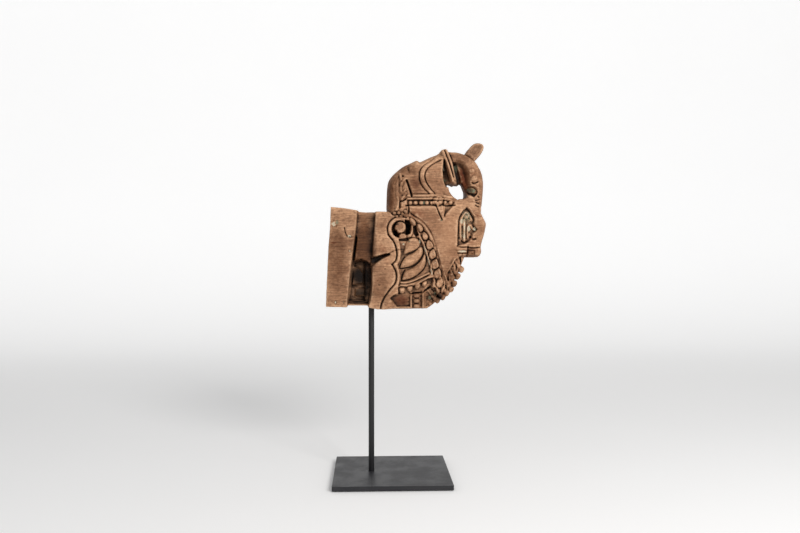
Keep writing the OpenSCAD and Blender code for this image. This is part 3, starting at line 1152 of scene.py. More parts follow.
@dataclass
class HorseCarving:
    """The block of wood: end board, cross groove, shoulder, mane, neck, head and foreleg."""

    underside: float                # height of the underside, in metres
    post_x: float                   # x of the post's axis, in metres
    scale: float                    # real size over drawn size
    sleeve_radius: float            # outer radius of the sleeve, as drawn
    sleeve_span: tuple[float, float]    # lower and upper end of the sleeve, as drawn
    pitch: float = 0.6
    most_triangles: int = 196000
    block_half: float = 33.0
    neck_half: float = 30.0
    head_half: float = 26.0
    groove_half: float = 24.0
    mortise_half: float = 11.5
    recess_half: float = 14.0
    arch_half: float = 28.0
    leg_gap: float = 16.0
    mouth_radius: float = 4.7
    peg_radius: float = 3.6
    peg_length: float = 9.5
    ear_y: float = 15.0
    ear_foot: tuple[float, float] = (108.6, 444.8)
    ear_lean: float = 37.6          # towards the horse's front, in degrees
    low_corner: Triple = (-92.5, -38.4, 232.4)
    high_corner: Triple = (132.5, 38.4, 458.6)
    board_edge: float = 1.3         # rounding between flank and outline at the end board
    chest_edge: float = 3.9         # the same from the chest on
    chisel_fillet: float = 0.4      # where tassels and front lines meet the wood
    tassel_spread: float = 27.4     # y of the outermost tassels
    face_line_y: float = 8.6        # y of the two lines down the face
    comb_depth: float = 0.55        # depth of the mane's combed lines, and their width
    comb_pitch: float = 6.4

    def to_world(self, points: Array) -> Array:
        """Drawn millimetres to metres in the frame: scaled, then moved to the post and seat."""
        s = self.scale * MM
        return np.column_stack([(points[:, 0] - DRAWN_POST_X) * s + self.post_x,
                                points[:, 1] * s,
                                (points[:, 2] - DRAWN_UNDERSIDE) * s + self.underside])

    # -- outlines --

    @staticmethod
    def block_outline() -> Array:
        """Board, groove, shoulder, chest, knee, hoof and belly."""
        board = [(-89.5, 239.4), (-89, 256), (-88, 280), (-86, 320), (-84, 346), (-82.8, 374.4),
                 (-70, 373.5), (-57, 371.6), (-46.6, 369.8)]
        top = [(-45.6, 368.3), (-36, 367.6), (-23.5, 367.7), (-22, 368.4), (-8, 368.3), (-3, 366.3),
               (0, 363), (8, 362), (20, 367), (22, 376.5), (84, 377.5)]
        leg = [(90, 384.5), (95, 388), (100, 389.5), (108, 391.3), (112, 386.5), (114, 380), (121, 376.5)]
        knee = smooth_curve([(121.9, 368.5), (124.5, 363), (126.9, 359), (129.8, 353), (128.9, 345),
                             (127.1, 337), (124.6, 329), (122.9, 321), (123.2, 314), (121.7, 309.6),
                             (118.4, 307)], 3)
        chest = smooth_curve([(100.3, 307), (98.6, 303), (95.8, 296), (91.5, 286), (86.5, 276), (82, 267.5),
                              (76.5, 259.5), (71, 253.4), (66, 248.8), (60.5, 245), (55, 240.8),
                              (48.5, 236)], 3)
        belly = [(0, 235.8), (-10, 235.4), (-20, 235.7), (-32, 238.2), (-33, 240.4), (-61, 240.7),
                 (-61.8, 238.7)]
        return np.vstack([board, top, leg, knee, chest, belly])

    CREST = [(-6.5, 366), (-6.5, 380), (-6, 394), (-5, 408), (-2, 415.8), (5, 423.8), (15, 432),
             (25, 436.8), (34, 441), (37, 440.5), (39, 439.2), (46, 442.6), (56, 447), (65, 450.2)]
    POLL = [(65, 450.2), (67, 453), (70, 455.4), (73.5, 456.2), (76.5, 455), (78.5, 453), (82, 452.3),
            (90, 451.8), (101, 448.7), (108, 444.7), (115, 440)]
    FACE = [(115, 440), (118.5, 436.8), (121.5, 433.5), (125.5, 426), (128, 416), (128.7, 407),
            (128, 395), (127, 381.5), (125, 373), (122.5, 366.5)]
    HOLE = [(79, 403), (79.6, 398.5), (82, 394), (86, 389.6), (90.5, 387.2), (97, 387.4), (102.5, 389.6),
            (102, 396.5), (100, 402), (98, 407.3), (96.5, 408.6), (94.5, 407.7), (91, 405.2),
            (88, 405.2), (86, 407.5), (84, 408.9), (81.5, 408.4), (79.8, 406.5)]
    LEG_PARTING = [(106, 290), (106, 348), (112, 360), (150, 360), (150, 290)]

    def region_maps(self, x: Array, z: Array) -> tuple[Array, Array]:
        """Depth inside the whole outline, and the uncarved half-thickness.

        Each region gives its own half-thickness, which falls away steeply outside it, and the
        largest counts. Crest, face and shin are rounded with a dome of the distance to them.

        Args:
            x: the grid's x.
            z: the grid's z.
        Returns:
            The depth and the half-thickness.
        """
        crest, face = smooth_curve(self.CREST, 3), smooth_curve(self.FACE, 3)
        poll = smooth_curve(self.POLL, 3)
        neck = np.vstack([[(-6.8, 350)], crest, [(72, 446), (71, 434), (71.5, 424), (74.5, 412), (80, 402),
                          (87, 389), (94, 384), (102, 386), (102, 350)]])
        head = np.vstack([[(56, 438)], poll, face, [(121, 360), (102, 362), (100, 376), (98, 390),
                          (94, 404.5), (89, 408), (85, 405), (80, 408), (72, 404), (62, 416)]])
        inside = [inside_distance(x, z, o) for o in (self.block_outline(), neck, head)]
        inside[0] += 0.7
        crest_gap = path_distance(x, z, crest)[0]
        face_gap = path_distance(x, z, face[6:])[0]
        shin = np.array([(128.7, 362), (128.7, 345), (122, 320), (122, 300)])
        shin_gap = path_distance(x, z, shin)[0]
        block = self.block_half * (0.86 + 0.14 * dome(shin_gap / 11.0))
        mane = self.neck_half * (0.34 + 0.66 * dome(crest_gap / 14.0, 2.3))
        brow = self.head_half * (0.42 + 0.58 * dome(face_gap / 17.0, 2.2))
        halves = [h - 6.0 * np.maximum(0.0, -d) for h, d in zip((block, mane, brow), inside)]
        half = smooth_max(smooth_max(halves[0], halves[1], 1.0), halves[2], 2.0)
        depth = np.maximum(np.maximum(inside[0], inside[1]), inside[2])
        depth = np.minimum(depth, -inside_distance(x, z, smooth_curve(self.HOLE, 3, True)))
        return depth, half

    # -- carver's marks, in the order in which they are cut --

    def board_and_groove(self) -> list:
        """Cross groove, its undercut, the mortise with its broken floor, and the board's flaws."""
        right_wall = [(-32.5, 230), (-32, 240), (-29, 250), (-27.5, 266), (-27.5, 290), (-26.3, 320),
                      (-24.5, 340), (-23, 358), (-22.3, 376)]
        left_wall = [(-46.8, 376), (-48.5, 350), (-51.5, 325), (-54, 302), (-57.5, 272), (-60, 250),
                     (-61.5, 230)]
        mortise = [(-52.5, 301.5), (-46, 303), (-42, 304), (-38, 302), (-34, 300.5), (-29, 297),
                   (-27.8, 285), (-28.3, 262), (-30.5, 250), (-32, 242), (-60.8, 242), (-58.3, 262),
                   (-56, 282), (-54, 296)]
        slit = [(-49.6, 337), (-47.6, 334), (-50.2, 312), (-52.8, 290), (-54.8, 270), (-57.5, 248),
                (-60.3, 248), (-58.2, 268), (-55.9, 290), (-53.4, 312)]
        return [
            Patch(left_wall + right_wall, level=self.groove_half, edge=1.2),
            Patch(slit, level=12, edge=1),
            Patch(mortise, level=self.mortise_half, edge=1.2),
            Patch([(-51.5, 299), (-44, 301), (-37.5, 300), (-37, 246), (-58.8, 246), (-55, 275)], level=4.5,
                  edge=2),
            Patch([(-53, 294), (-45, 292), (-39, 284), (-39, 270), (-54.5, 268.5)], level=11, edge=2.5),
            Patch([(-50, 263.5), (-37.4, 262.5), (-38, 253), (-51, 252.5)], level=9, edge=2.4),
            Patch([(-60.7, 242.8), (-33, 241.4), (-33, 234), (-61.5, 234)], level=20, edge=1.2),
            Patch([(-83.5, 357), (-79, 357.5), (-74.5, 355), (-74, 349), (-78, 347), (-83.8, 348.5)],
                  change=-1.6, edge=2.5, curved=True),
            Patch([(-80, 354.5), (-76, 355.5), (-74.5, 351.5), (-78.5, 350)], change=1.1, edge=2,
                  curved=True),
            Stroke(G, [(-65, 347), (-63.5, 340), (-61, 335.2), (-57.5, 333.8)], 1.8, 2.4),
            Stroke(G, [(-58, 333.6), (-53, 334.2), (-48.5, 333.5)], 1.5, 2.6),
            Patch([(-59.5, 337), (-56, 337.5), (-55, 334.5), (-58.5, 333.5)], change=-1, edge=1.4,
                  curved=True),
            Patch([(-60, 317.5), (-55, 317), (-55.3, 313.5), (-59, 313.3)], change=-1.3, edge=1.6,
                  curved=True),
            Patch([(-78.5, 247), (-75.5, 247.5), (-75.8, 242.5), (-78, 242.7)], change=-1.2, edge=1.4,
                  curved=True),
            Patch([(-67.5, 247), (-64.5, 247), (-64.8, 243), (-67, 243)], change=-1.2, edge=1.4,
                  curved=True),
            Stroke(G, [(-86, 327), (-78, 326), (-70, 326.6)], 1.1, 0.9),
            Stroke(G, [(-88, 272), (-80, 273), (-71, 271.6)], 0.9, 0.7),
            Stroke(G, [(-84, 364), (-72, 363), (-62, 364)], 0.9, 0.7),
            Stroke(G, [(-73, 303), (-66, 302.4), (-57, 303)], 0.9, 0.7),
        ]

    def shoulder(self) -> list:
        """The shoulder's long crack, its pits, and the scroll border on its right."""
        upper = [(-5.5, 337.5), (-2.5, 334), (0.5, 330.5), (4, 324), (6, 316), (6.6, 309), (5, 302),
                 (-0.3, 296.6)]
        lower = [(0.3, 296.2), (2.5, 292.5), (4.8, 288), (6, 281.5), (5.5, 275), (3, 269), (-3, 262),
                 (-10, 252), (-14.3, 243), (-16, 234)]
        return [
            Patch([(-29, 292.5), (-22, 299.5), (-14, 304.5), (-8, 307.4), (-3, 309.6), (-3, 311.2),
                   (-8, 311.2), (-14, 309.6), (-22, 307.2), (-29, 305.6)], level=21, edge=2.6),
            Stroke(G, [(-14, 308.4), (-4, 312), (4, 315.6), (13, 317.6)], 1.8, 2.8, taper=0.4),
            Stroke(G, [(-27, 263), (-18, 262.2), (-9, 263)], 1, 1.2, taper=0.4),
            Stroke(G, [(-25, 281), (-16, 282.4), (-6, 281.6)], 0.9, 0.7),
            Stroke(G, [(-21, 341), (-12, 340), (-5, 341)], 0.9, 0.6),
            Bead(-17.5, 268.5, 1.7, 1.2, -1.4, ring=0),
            Bead(-9.5, 290.5, 1.4, 1.1, -1.1, ring=0),
            Bead(-20, 274, 1.2, 1, -1, ring=0),
            Stroke(G, upper, 2.9, 3.4),
            Stroke(G, lower, 2.9, 3.4),
            Stroke(R, [(x + 4.3, z + 0.6) for x, z in upper[1:-1]], 5.6, 1.3),
            Stroke(R, [(x + 4.2, z + 0.4) for x, z in lower], 5.6, 1.3),
        ]

    def scroll(self) -> list:
        """The round scroll: a raised ring, a deep hollow and a boss in it."""
        x, z = 11.3, 344.8
        return [
            Stroke(G, ring_of(x, z, 17.6, 62, 232), 2.6, 3),
            Patch(ring_of(x, z, 11.6, 0, 345), level=18.5, edge=1.4),
            Stroke(R, ring_of(x, z, 14.2, 82, 270), 5.4, 1.5),
            Stroke(R, ring_of(x, z, 14.2, -50, 12), 4.4, 1.2),
            Patch([(9.5, 329), (9.4, 336), (12, 339.6), (17.5, 339.4), (21.5, 335), (23, 329)], level=27,
                  edge=1.6, puff=2.4),
            Patch(ring_of(11.4, 347.6, 8, 0, 340), level=29.6, edge=1.4, puff=2.4, puff_run=6),
            Stroke(G, [(5.4, 352.4), (3.8, 348), (4.4, 343.6)], 1.8, 3),
            Patch([(17.6, 357.5), (23.6, 357), (26.6, 351), (26.2, 346), (24.8, 339), (20.4, 337),
                   (19.4, 341), (20.4, 346), (19, 351)], level=9, edge=1.4),
            Patch([(2, 343), (6.4, 344), (7.6, 339.8), (9.5, 336.5), (5, 335), (1.8, 338)], level=13,
                  edge=1.4),
            Stroke(G, [(26.5, 354), (29.5, 347), (29, 340), (26, 334), (22, 331)], 2.4, 3.6),
            Patch([(29, 349), (33, 350), (34.5, 343), (37, 337), (33, 334), (29.5, 339)], level=21,
                  edge=1.8),
        ]

    def leaves(self) -> list:
        """Three plump leaves between the scroll border and the garland, and two bands below."""
        ground = [(9.5, 331), (11, 322), (12, 312), (10.8, 303), (7.5, 296.5), (9.5, 289), (11, 282),
                  (10, 274), (8.5, 267), (14, 265.5), (26, 267), (38, 273), (50, 281), (54, 286), (51, 300),
                  (46, 315), (41, 328), (36, 334), (24, 334)]
        shapes = [
            [(16.4, 311), (17.2, 318), (19.5, 326), (23.5, 331.5), (31, 333.2), (36.8, 329.5), (38, 323.5),
             (35, 318.8), (29, 315), (22, 312.2)],
            [(11.6, 292.3), (12.8, 298), (16.6, 304.6), (21.5, 308.6), (28, 312), (34, 316.4), (38.4, 320.6),
             (41.6, 318), (42, 311.6), (38.4, 304.6), (32.8, 299), (26, 294.8), (19, 292.2)],
            [(14.2, 275.2), (15, 281), (17.6, 287), (23, 289.4), (30, 293), (36.2, 298.6), (41.4, 306),
             (45, 310), (46.9, 302), (44.4, 292.6), (38.6, 286), (31.6, 280.6), (23, 276.4)],
        ]
        marks = [Patch(ground, change=-5, edge=1.8)]
        marks += [Patch(s, change=0.8, edge=1.4, curved=True, puff=5, puff_run=6.5) for s in shapes]
        marks += [Stroke(R, p, 2.7, 3) for p in (
            [(12.5, 271.9), (20, 271.9), (30, 274.8), (40, 279.4), (51, 284.5)],
            [(11.5, 268.2), (20, 268.1), (28, 269.9), (37, 273.4), (46, 277.6)])]
        vein = [[(19, 315), (25, 320), (33, 328)], [(16, 296), (26, 303), (37, 314)],
                [(18, 279.5), (28, 286), (40, 299)]]
        rim = [[(10.8, 291), (12.4, 298), (17.4, 306.6)], [(13.4, 275), (14.4, 282), (17.8, 288.8)],
               [(47.4, 307), (46.4, 297), (42.6, 289), (35, 282), (26, 277), (15.5, 274.6)],
               [(43.4, 317), (42.2, 308), (37, 300), (28, 294), (13, 291.2)]]
        return marks + [Stroke(G, v, 1, 0.4) for v in vein] + [Stroke(G, v, 2, 2.4) for v in rim]

    def teeth_and_panels(self) -> list:
        """Square drops under the bands, the sunk panels below them and the beaded strap."""
        marks = [
            Patch([(8.5, 255.5), (8.5, 266), (20, 266), (30, 268), (40, 271.8), (50, 277.5), (57, 279),
                   (55, 266), (42, 257.5), (25, 255.5)], change=-6.5, edge=1.6),
            Patch([(-2.5, 250.5), (2, 254.6), (10, 256), (24.6, 256.3), (24.6, 239), (7, 239), (3.5, 243)],
                  level=self.arch_half - 0.5, edge=1.8),
            Patch([(24.6, 257.5), (24.6, 230), (57, 230), (64, 248), (60, 265), (50, 266), (42, 259)],
                  change=-4.6, edge=1.6),
            Patch([(46.2, 262), (52, 268), (60, 264), (63, 255), (57, 243), (46.2, 238)], change=-3,
                  edge=2.4),
            Stroke(S, [(26.2, 258), (26.2, 230)], 2.8, 3.8, curved=False),
            Stroke(S, [(42.4, 260), (42.4, 230)], 3.4, 3.8, curved=False),
            Patch([(28.5, 257), (38.8, 257.5), (38.8, 235), (28.5, 235)], change=1.2, edge=1.2),
            Stroke(R, [(47, 263), (52, 257.6), (55.6, 251)], 2.6, 2),
            Stroke(G, [(54.6, 263), (59.4, 257), (61.4, 250.6)], 2, 2.6),
            Bead(51.6, 250.6, 2.4, 3.2, 2.2, turn=20), Bead(58.8, 258, 1.8, 2.6, 1.8, turn=20),
            Bead(52.6, 242.6, 2.6, 2.4, 1.8), Bead(47.8, 255, 1.6, 2.6, 1.4, turn=10),
        ]
        marks += [Bead(33.7, z, 4.3, 3.3, 3, ring=0.8) for z in (254, 246.6, 239.4)]
        drops = [[(10.8, 258.6), (10.6, 264.2), (16.4, 264.6), (17, 259.6), (14, 256.8)],
                 [(21.8, 261.4), (21.4, 265.8), (27.4, 267), (28, 262.8), (25, 259.4)],
                 [(32.2, 264), (31.8, 268.4), (37.6, 270.8), (38.2, 266.6), (35.2, 262.6)],
                 [(42.2, 267.6), (41.8, 271.8), (46.8, 274.4), (47.6, 270.2), (45, 266.6)]]
        return marks + [Patch(d, change=3.6, edge=1.2, curved=True, puff=2.8, puff_run=3) for d in drops]

    def garland(self) -> list:
        """The hanging row of buds with a cord on each side."""
        spine = [(25, 362), (30, 355), (38, 347), (45, 335.8), (51, 323.8), (56, 310.5), (59.5, 298),
                 (63, 284.8), (67, 271.5), (72, 259), (77, 250)]
        outer = [(20.5, 371.5), (30, 363.5), (37, 359), (44.5, 352.5), (51.5, 343.5), (56, 334.5),
                 (60.2, 321), (64.2, 306), (67.6, 293), (71, 281.5), (76, 269)]
        inner = [(33.5, 345), (36.5, 337.5), (41, 329), (44.5, 320), (48.5, 307.5), (51.8, 296), (55, 283),
                 (58.5, 272)]
        buds = [(28.4, 355.6, 3, 6, -35), (38.2, 347, 3.7, 6.2, -25), (45, 335.8, 4, 6.1, -20),
                (51, 323.8, 4.6, 6.8, -12), (55.4, 310.6, 4.7, 7.2, 4), (58.6, 297.4, 5.4, 7.4, 10),
                (62.5, 284, 5.2, 7.2, 12), (65.6, 272.4, 4.6, 7.8, 8), (70.8, 261.6, 3.6, 6.6, 4)]
        marks = [
            Stroke(G, spine, 15, 4.4),
            Stroke(G, outer, 2.2, 2.2, taper=0.3),
            Stroke(R, [(x - 3.4, z - 1.6) for x, z in outer], 3.6, 1.7),
            Stroke(G, [(x + 2.4, z + 0.6) for x, z in inner], 2, 2.2),
            Stroke(R, inner, 2, 1.5),
        ]
        marks += [Bead(x, z, a, b, 4.8, turn, ring=1.9, point=0.36) for x, z, a, b, turn in buds]
        return marks + [Stroke(G, [(x - 0.4, z + 0.7 * b), (x + 0.2, z - 0.5 * b)], 0.9, 0.45)
                        for x, z, _, b, _ in buds]

    def chest(self) -> list:
        """Ribbon and its fold, and the lower front where the tassels hang."""
        front = [(95.5, 309), (86, 302), (81, 293.5), (76, 286), (74.5, 276), (73.5, 266), (68, 256),
                 (62, 248), (56, 238), (50, 230), (118, 230), (118, 309)]
        combed = [[(83.4, 298.5), (90.5, 286)], [(87.5, 301), (95, 288)], [(79.5, 290.5), (86, 278.5)],
                  [(84.6, 292), (91, 280)], [(76.2, 283.5), (80.2, 272.5)], [(80.8, 283), (86.5, 270.5)],
                  [(77.6, 272.5), (82.4, 262.5)], [(74.4, 269), (76.8, 260.5)]]
        shade = [[(88.8, 296), (88.2, 288)], [(83.6, 287), (86.8, 280.5)], [(77.4, 284.5), (77.2, 275)],
                 [(83, 271), (85.5, 266.5)], [(79, 268), (79.6, 261)], [(74, 268), (75, 259)],
                 [(67, 257.5), (71, 253)]]
        return [
            Patch(front, level=28.6, edge=3),
            Stroke(G, [(59.8, 378.5), (63.5, 369), (68.5, 358)], 2.5, 3.6),
            Stroke(G, [(70.6, 379), (71.6, 371), (72.2, 363)], 2.7, 3.8),
            Patch([(72.2, 377.6), (84.6, 378.4), (78.5, 371.2), (72.6, 364.4)], level=27, edge=1.4),
            Stroke(G, [(60.5, 366), (40, 371), (24, 373.5)], 1, 0.6),
            Bead(67.8, 357.2, 1.6, 1.4, -1, ring=0),
            Stroke(G, [(93.6, 307), (94.6, 300), (94.4, 293)], 3, 5, taper=0.3),
            Stroke(R, [(86, 304), (83, 298.5), (79.6, 292), (75.4, 285.6)], 2.6, 2),
            Stroke(R, [(70.6, 283.5), (73.4, 279), (75.4, 274.4), (77.2, 269.6)], 2.8, 2.4, taper=0.3),
            Stroke(G, [(72.6, 276), (73.6, 268), (71.6, 260)], 1.8, 2.6),
            Stroke(R, [(57, 243), (59.4, 249.4), (62, 256.5)], 2.2, 2.4),
            Patch([(62.4, 256), (66.5, 258), (70.5, 254), (66, 250), (61.5, 246)], level=19, edge=2),
        ] + [Stroke(R, c, 3, 2, taper=0.2) for c in combed] + [
            Stroke(G, c, 2.4, 3.4) for c in shade]

    def mane(self) -> list:
        """Long locks down the neck's back, curled ones before them, and the tufts at their foot."""
        locks = [[(13.6, 386.4), (16, 389.4), (18.8, 393.8)], [(14.6, 393.6), (16, 396.2), (18.6, 399)],
                 [(15.8, 400.2), (17.4, 402.8), (19, 406)], [(13.2, 405.6), (14.6, 409.6), (17.6, 413.2)],
                 [(12.6, 413), (11.4, 417.2), (10.6, 421)], [(12.2, 397), (11.8, 402.5), (12.8, 408)]]
        marks = [
            Stroke(G, [(20.2, 411.6), (22, 407), (24, 401), (25.8, 395.6), (26.9, 390.4)], 3.6, 7),
            Bead(15.1, 417.6, 1.7, 1.7, -3.4, ring=0),
            Stroke(G, [(22.3, 430), (22.6, 426.5), (23.8, 422)], 4.8, 2.8, taper=0.5),
            Stroke(G, [(10.6, 371), (10.2, 380), (10.8, 392), (10.6, 402), (9.6, 411), (9.4, 419)], 1.6, 1),
            Stroke(G, [(4.4, 369), (3.6, 380), (4.4, 392), (3.4, 402), (5.6, 411), (10, 418)], 1.6, 0.8),
            Stroke(R, [(6, 371.5), (8.2, 377), (8.6, 384), (7.4, 388.6)], 3, 2),
            Stroke(R, [(6.6, 392), (7.2, 400), (7.4, 408)], 3.4, 0.9),
            Stroke(G, [(11.2, 383.2), (14, 383), (16.6, 384.4), (19.2, 386.4)], 2.6, 4.2),
            Patch([(11.6, 376), (12, 381.8), (18.6, 383.6), (20.4, 379), (16, 375.4)], change=1.6, edge=1.6,
                  curved=True),
            Patch([(9.8, 373), (9.6, 382), (12.4, 383), (12.6, 374.4)], change=-3, edge=1.6),
            Stroke(G, [(22.4, 377), (23, 371), (22, 366)], 3, 4.6),
            Stroke(G, [(26, 434), (32, 431.5), (40, 434)], 1.4, 1),
            Stroke(G, [(19.4, 407), (17, 402), (15.4, 396), (13.4, 391)], 1.4, 1.6),
        ]
        marks += [Stroke(R, p, 3.6, 2.2, taper=0.1) for p in locks]
        marks += [Bead(25.4, 428.4, 4, 2.4, 0.8, ring=0.3)]
        tufts = [(5.6, 371.6, 2.6, 1.8), (3.4, 366.4, 3, 2.6), (9.2, 367, 2.8, 2.6),
                 (14.2, 366, 2.4, 2.2), (18.2, 369, 2.4, 2.8), (6.8, 362.4, 2.6, 2.2),
                 (12.4, 362.2, 2.8, 2)]
        return marks + [Bead(x, z, a, b, 2.6, ring=1.8) for x, z, a, b in tufts]

    def collar(self) -> list:
        """Two straps across the neck, a row of beads and a rosette."""
        marks = [
            Patch([(20.5, 385.2), (86, 385.2), (86, 377), (20.5, 377)], change=-2.4, edge=1.6),
            Stroke(G, [(19, 377.2), (40, 377), (60, 377.4), (86, 377.6)], 2.8, 2.6),
            Stroke(S, [(22, 390.4), (44, 390.6), (66, 390.4), (82, 388.4)], 3.8, 2.4),
            Stroke(S, [(22, 386.6), (40, 387), (58, 387.2)], 2.7, 2.2),
            Stroke(G, [(23, 388.6), (42, 388.8), (64, 388.6)], 1.3, 1.2),
            Stroke(G, [(20.5, 384.6), (40, 384.8), (57, 385)], 1.6, 1.2),
            Stroke(G, [(28, 393.2), (46, 393.4), (60, 393)], 1.4, 1),
            Stroke(R, [(68, 387), (77, 385.6), (86, 383)], 3, 2.2),
        ]
        beads = [(25.3, 380.9, 2.7, 2.9), (32.3, 381, 3.3, 2.9), (40.1, 381.1, 3.3, 2.9),
                 (47.9, 381.1, 2.8, 2.9), (54.9, 381.2, 2.6, 2.9), (72.8, 381.6, 2.5, 2.7),
                 (80.6, 381.4, 3, 2.6)]
        marks += [Bead(x, z, a, b, 4, ring=0.9) for x, z, a, b in beads]
        marks += [Bead(63, 383.4, 7.6, 6.4, 4.6, turn=-20, ring=1.6),
                  Bead(61.2, 385.6, 2.6, 2.2, 1.2, ring=0.8)]
        petals = [(62.8 + 7 * math.cos(a), 383.4 + 6 * math.sin(a)) for a in (0.2, 1.3, 2.9, 4, 5.2)]
        return marks + [Stroke(G, [(62.8, 383.6), petal], 1.3, 1.6) for petal in petals]

    def neck_ring(self) -> list:
        """The raised band that loops round the cheek, with a line on each side."""
        middle = [(70, 444.5), (62, 440.8), (54, 435.8), (47, 430.6), (42.3, 424.6), (41.1, 417.8),
                  (42.2, 411), (45.2, 405), (49.8, 399), (54.6, 393.6)]
        outer = [(58, 442.6), (50, 437), (44, 432.4), (39, 425.8), (37.5, 418), (38.4, 410.6), (41.2, 404.6),
                 (46, 398.6), (51.2, 393.4)]
        inner = [(67, 439.8), (58.6, 435.4), (51, 430.2), (46.6, 424.6), (45, 418.4), (46, 412), (49, 405.8),
                 (53.6, 399.4), (58.2, 394.4)]
        return [Stroke(R, middle, 7.6, 2), Stroke(G, outer, 2.3, 2.8), Stroke(G, inner, 2.3, 2.8)]

    def bridle(self) -> list:
        """Two cords down from the poll between two deep hollows."""
        return [
            Patch([(71.4, 441), (73.6, 438), (76.6, 428), (79.6, 418), (82.2, 409), (80, 404), (75, 403),
                   (71.6, 411), (70, 424)], level=self.recess_half, edge=1.8),
            Patch([(86, 436), (95, 437), (102, 429), (105.5, 416), (106, 404), (102, 392), (97, 389),
                   (95, 402), (90, 416), (87, 428)], change=-11, edge=8, curved=True),
            Patch([(84.6, 437), (88.5, 437), (92, 428), (95.5, 416), (97, 404), (95.4, 399), (91.4, 404),
                   (89.6, 413), (87, 424)], level=self.recess_half - 3, edge=2.4),
            Stroke(R, [(68.5, 455), (72, 446.5), (75.4, 438), (78.8, 428), (82, 418), (84.6, 408.5)],
                   4.9, 5.4),
            Stroke(R, [(74.6, 454), (78, 444), (81.6, 434.4), (84.8, 424), (87.2, 414)], 4.5, 5.4),
            Stroke(G, [(72.2, 453), (75.2, 444.5), (78.4, 436), (81.6, 426), (84.4, 416.5)], 1.5, 2.6),
            Stroke(G, [(78.4, 452), (81.5, 444), (84.4, 436.5)], 1.8, 2.4),
        ]

    def face(self) -> list:
        """Brow, cheek ridge, eye, and the folds of the muzzle."""
        return [
            Bead(110.6, 425.8, 4.6, 3.6, 1.8, turn=20, ring=0.2),
            Bead(113.6, 415.4, 4.8, 4.2, 3, turn=-10, ring=0.3),
            Bead(118, 421.4, 3.6, 4.6, 1, ring=0.1),
            Stroke(G, [(110.4, 409.4), (113.6, 408.4), (118.6, 410.6)], 2.6, 3.6),
            Stroke(R, [(102.8, 401), (106.8, 404.6), (112.6, 405.4), (118.4, 402.4)], 2.6, 1.4),
            Bead(110.2, 398, 6.6, 4.2, 3.4, turn=24, ring=2.4),
            Bead(109.6, 398.4, 2.4, 2.2, 0.9, turn=24, ring=0.7),
            Stroke(G, [(105, 395.4), (108.4, 391.4), (113, 390.8), (116.6, 393.8)], 2.2, 4),
            Stroke(R, [(118.4, 393), (120, 398), (119.8, 404)], 2.4, 1),
            Stroke(G, [(110.6, 386.6), (115.6, 385.2), (121.4, 386.4)], 1.8, 2),
            Stroke(G, [(112.6, 382.4), (117.2, 380.6), (122.4, 381.6)], 1.8, 2),
            Stroke(G, [(114.6, 377.8), (118, 375.8), (122.6, 376.6)], 2.2, 3),
            Stroke(G, [(118.4, 391.2), (120.6, 389.2)], 2.8, 2.4),
            Stroke(G, [(119.6, 424), (121, 414), (121.4, 404)], 1.3, 0.8),
        ]

    def foreleg(self) -> list:
        """The arched recess with its small figure, the fetlock bands and the hoof."""
        arch = [(89.7, 322), (89.8, 340), (90.4, 355), (91.6, 361.5), (94.4, 366.5), (98, 371),
                (102.5, 374.8), (106.8, 371), (110, 366), (112.8, 361.5), (113.4, 357), (112.2, 352.6),
                (114.4, 348.4), (117.2, 344.8), (114.8, 341.8), (111, 339.2), (109.2, 334),
                (106.6, 329.4), (103.4, 326.8), (99.5, 324.8)]
        return [
            Patch(arch, level=self.arch_half - 0.6, edge=1.8),
            Stroke(R, [(94, 330), (94, 345), (94.6, 357), (98.4, 364.4), (102.4, 368), (106.4, 363.4),
                       (109.4, 357.2)], 3.4, 2.6),
            Stroke(S, [(99.4, 357.5), (99.3, 329.5)], 3.6, 3, curved=False),
            Stroke(R, [(104.2, 333), (103.6, 340), (104.4, 347.5), (107.4, 350.2), (110, 346.8)], 3, 3),
            Bead(102.2, 361.4, 3.4, 3.2, 3.2), Bead(97, 352, 2.2, 3, 1.6),
            Bead(105.8, 357, 2.4, 2.4, 2),
            Bead(112.4, 344.6, 2.4, 2, 2.2), Bead(106.2, 337.4, 2, 2.6, 1.8),
            Stroke(G, [(92.6, 333), (96, 328.6), (99.5, 326.2), (103.6, 328.4)], 2.4, 2.8),
            Stroke(G, [(107.8, 334.5), (110.6, 331.2), (114.5, 331.6)], 3.6, 3),
            Stroke(G, [(89, 321.6), (97, 320.4), (104, 320.6)], 2.2, 2.8),
            Stroke(S, [(89.5, 317.8), (101.6, 317.4)], 2, 1.2, curved=False),
            Stroke(S, [(90, 314.4), (101.6, 314.2)], 2.6, 1.6, curved=False),
            Stroke(G, [(89.5, 312.2), (102, 311.8)], 1.6, 2.2, curved=False),
            Stroke(G, [(104.2, 321), (103.6, 314), (102.4, 305)], 2.4, 3.2),
            Stroke(G, [(104, 320.2), (112, 319.2), (124, 320.6)], 2.4, 2.6),
            Patch([(104.5, 318.6), (121.6, 318.8), (122.6, 314), (120.6, 309), (118, 306), (103.4, 306)],
                  edge=1.4, puff=1.6, puff_run=5),
            Stroke(G, [(112.8, 315.6), (112.6, 311), (113, 307)], 1.8, 2),
            Stroke(G, [(104.6, 316.4), (108.4, 316), (112.4, 316.4)], 1.6, 1.8),
            Bead(93.2, 309.4, 2.6, 2.2, 1.8), Bead(98.4, 309.2, 2.4, 2.2, 1.8),
            Bead(109.8, 311.2, 1.5, 1.5, -1.2, ring=0),
            Stroke(G, [(116, 348), (121, 350), (127, 349.4)], 1.1, 0.8),
            Stroke(G, [(112, 366), (117.5, 363.4), (124, 362.4)], 1.4, 1.2),
        ]

    def marks(self) -> list:
        """Every mark of one flank, in cutting order."""
        return (self.board_and_groove() + self.shoulder() + self.chest() + self.garland()
                + self.scroll() + self.leaves() + self.teeth_and_panels() + self.collar()
                + self.neck_ring() + self.mane() + self.bridle() + self.face() + self.foreleg())

